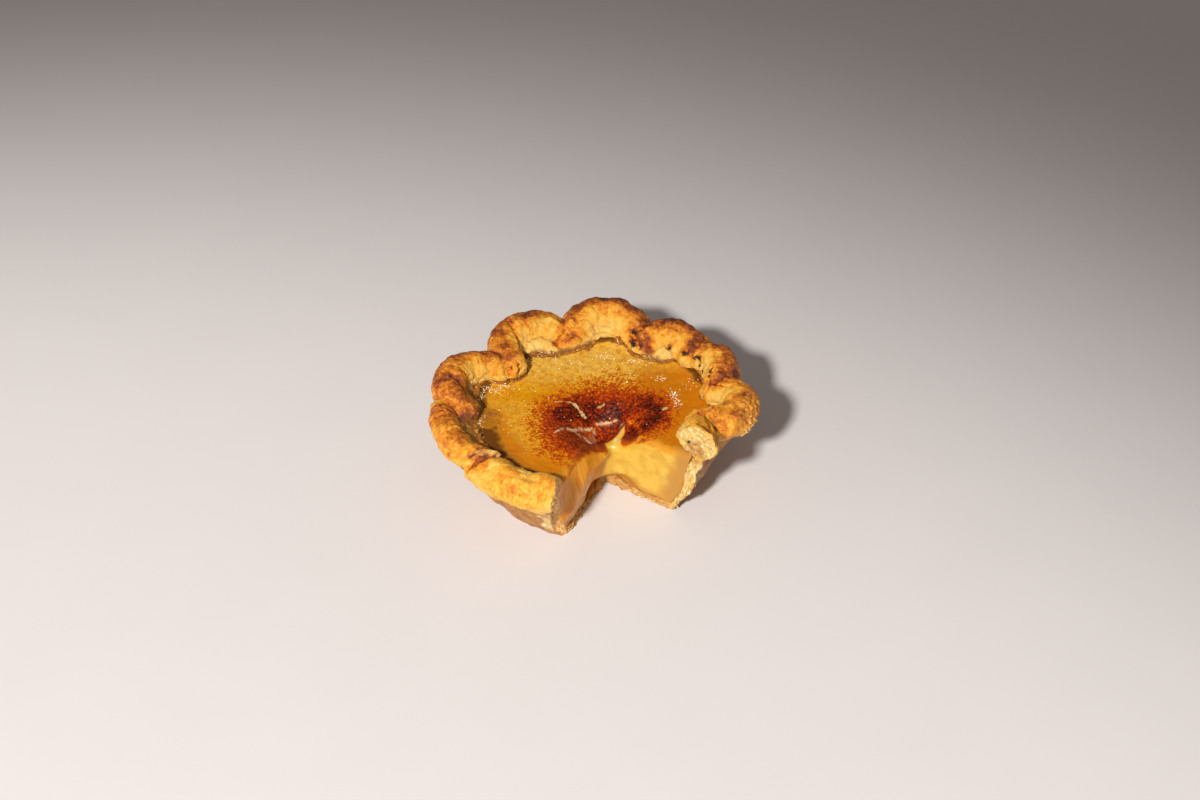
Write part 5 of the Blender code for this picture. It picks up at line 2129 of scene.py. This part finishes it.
# Stage: the camera's aim and lens, and the lights.
CAMERA_AIM = Vector((2.35 * MM, 18.7 * MM, 23.0 * MM))
CAMERA_LENS = 70.0
FLOOR_SIZE = 6.0
KEY_TOWARDS = Vector((38.5, 92.5, -87.0))
KEY_DISTANCE = 2.5
KEY_AIM = Vector((-0.416, -0.982, 0.0))
KEY_BEAM = 0.9457
KEY_EDGE = 0.24
KEY_RADIUS = 0.12
KEY_POWER = 339.0
KEY_COLOUR = (1.0, 0.995, 0.99)
FILL_STRENGTH = 0.225
FILL_COLOUR = (1.0, 0.92, 0.90, 1.0)


class PIE_OT_stage(bpy.types.Operator):
    """Make the floor, the lights and the camera"""

    bl_idname = "pie.stage"
    bl_label = "Stage"

    def execute(self, context):
        scene = context.scene
        sizes = scene.pie_sizes
        build = bmesh.new()
        bmesh.ops.create_grid(build, x_segments=8, y_segments=8, size=FLOOR_SIZE / 2.0)
        floor = object_of("floor", build)
        make = Recipe("pale_floor")
        tint = scene.pie_colours.floor
        floor_stops = [(0.3, [part * 0.985 for part in tint]), (0.7, tuple(tint))]
        tone = make.ramp(make.noise(make.place(), 0.05, 2.0), floor_stops)
        floor.data.materials.append(make.finish(Base_Color=tone, Roughness=0.85, Specular_IOR_Level=0.2))

        light = bpy.data.lights.new("key", "SPOT")
        light.spot_size = KEY_BEAM
        light.spot_blend = KEY_EDGE
        light.shadow_soft_size = KEY_RADIUS
        light.energy = KEY_POWER
        light.color = KEY_COLOUR
        key = bpy.data.objects.new("key", light)
        key.location = Vector((0.0, 0.0, 30.0 * MM)) - KEY_TOWARDS.normalized() * KEY_DISTANCE
        key.rotation_euler = (KEY_AIM - key.location).to_track_quat("-Z", "Y").to_euler()
        scene.collection.objects.link(key)

        world = bpy.data.worlds.new("studio")
        world.use_nodes = True
        fill = world.node_tree.nodes["Background"].inputs
        fill["Color"].default_value = FILL_COLOUR
        fill["Strength"].default_value = FILL_STRENGTH
        scene.world = world
        scene.view_settings.view_transform = "Standard"

        camera = bpy.data.cameras.new("camera")
        camera.lens = CAMERA_LENS
        view = bpy.data.objects.new("camera", camera)
        back = Vector((0.0, -math.cos(sizes.camera_elevation), math.sin(sizes.camera_elevation)))
        view.location = CAMERA_AIM + back * sizes.camera_distance
        view.rotation_euler = (math.pi / 2.0 - sizes.camera_elevation, 0.0, 0.0)
        scene.collection.objects.link(view)
        scene.camera = view
        return {"FINISHED"}


STEPS = [
    PIE_OT_dough,
    PIE_OT_custard,
    PIE_OT_sugar,
    PIE_OT_syrup,
    PIE_OT_crystals,
    PIE_OT_crumbs,
    PIE_OT_stage,
]


class PIE_PT_panel(bpy.types.Panel):
    """Steps that make the pie, and its sizes and colours"""

    bl_label = "Creme brulee pie"
    bl_idname = "PIE_PT_panel"
    bl_space_type = "VIEW_3D"
    bl_region_type = "UI"
    bl_category = "Pie"

    def draw(self, context):
        for step in STEPS:
            self.layout.operator(step.bl_idname)
        for group in (context.scene.pie_sizes, context.scene.pie_colours):
            for name in group.__annotations__:
                self.layout.prop(group, name)


CLASSES = [PieSizes, PieColours, *STEPS, PIE_PT_panel]


def register():
    for made in CLASSES:
        bpy.utils.register_class(made)
    bpy.types.Scene.pie_sizes = PointerProperty(type=PieSizes)
    bpy.types.Scene.pie_colours = PointerProperty(type=PieColours)


def unregister():
    del bpy.types.Scene.pie_colours
    del bpy.types.Scene.pie_sizes
    for made in reversed(CLASSES):
        bpy.utils.unregister_class(made)


def main():
    """Make every piece in order."""
    register()
    for step in STEPS:
        group, name = step.bl_idname.split(".")
        getattr(getattr(bpy.ops, group), name)()


if __name__ == "__main__":
    main()
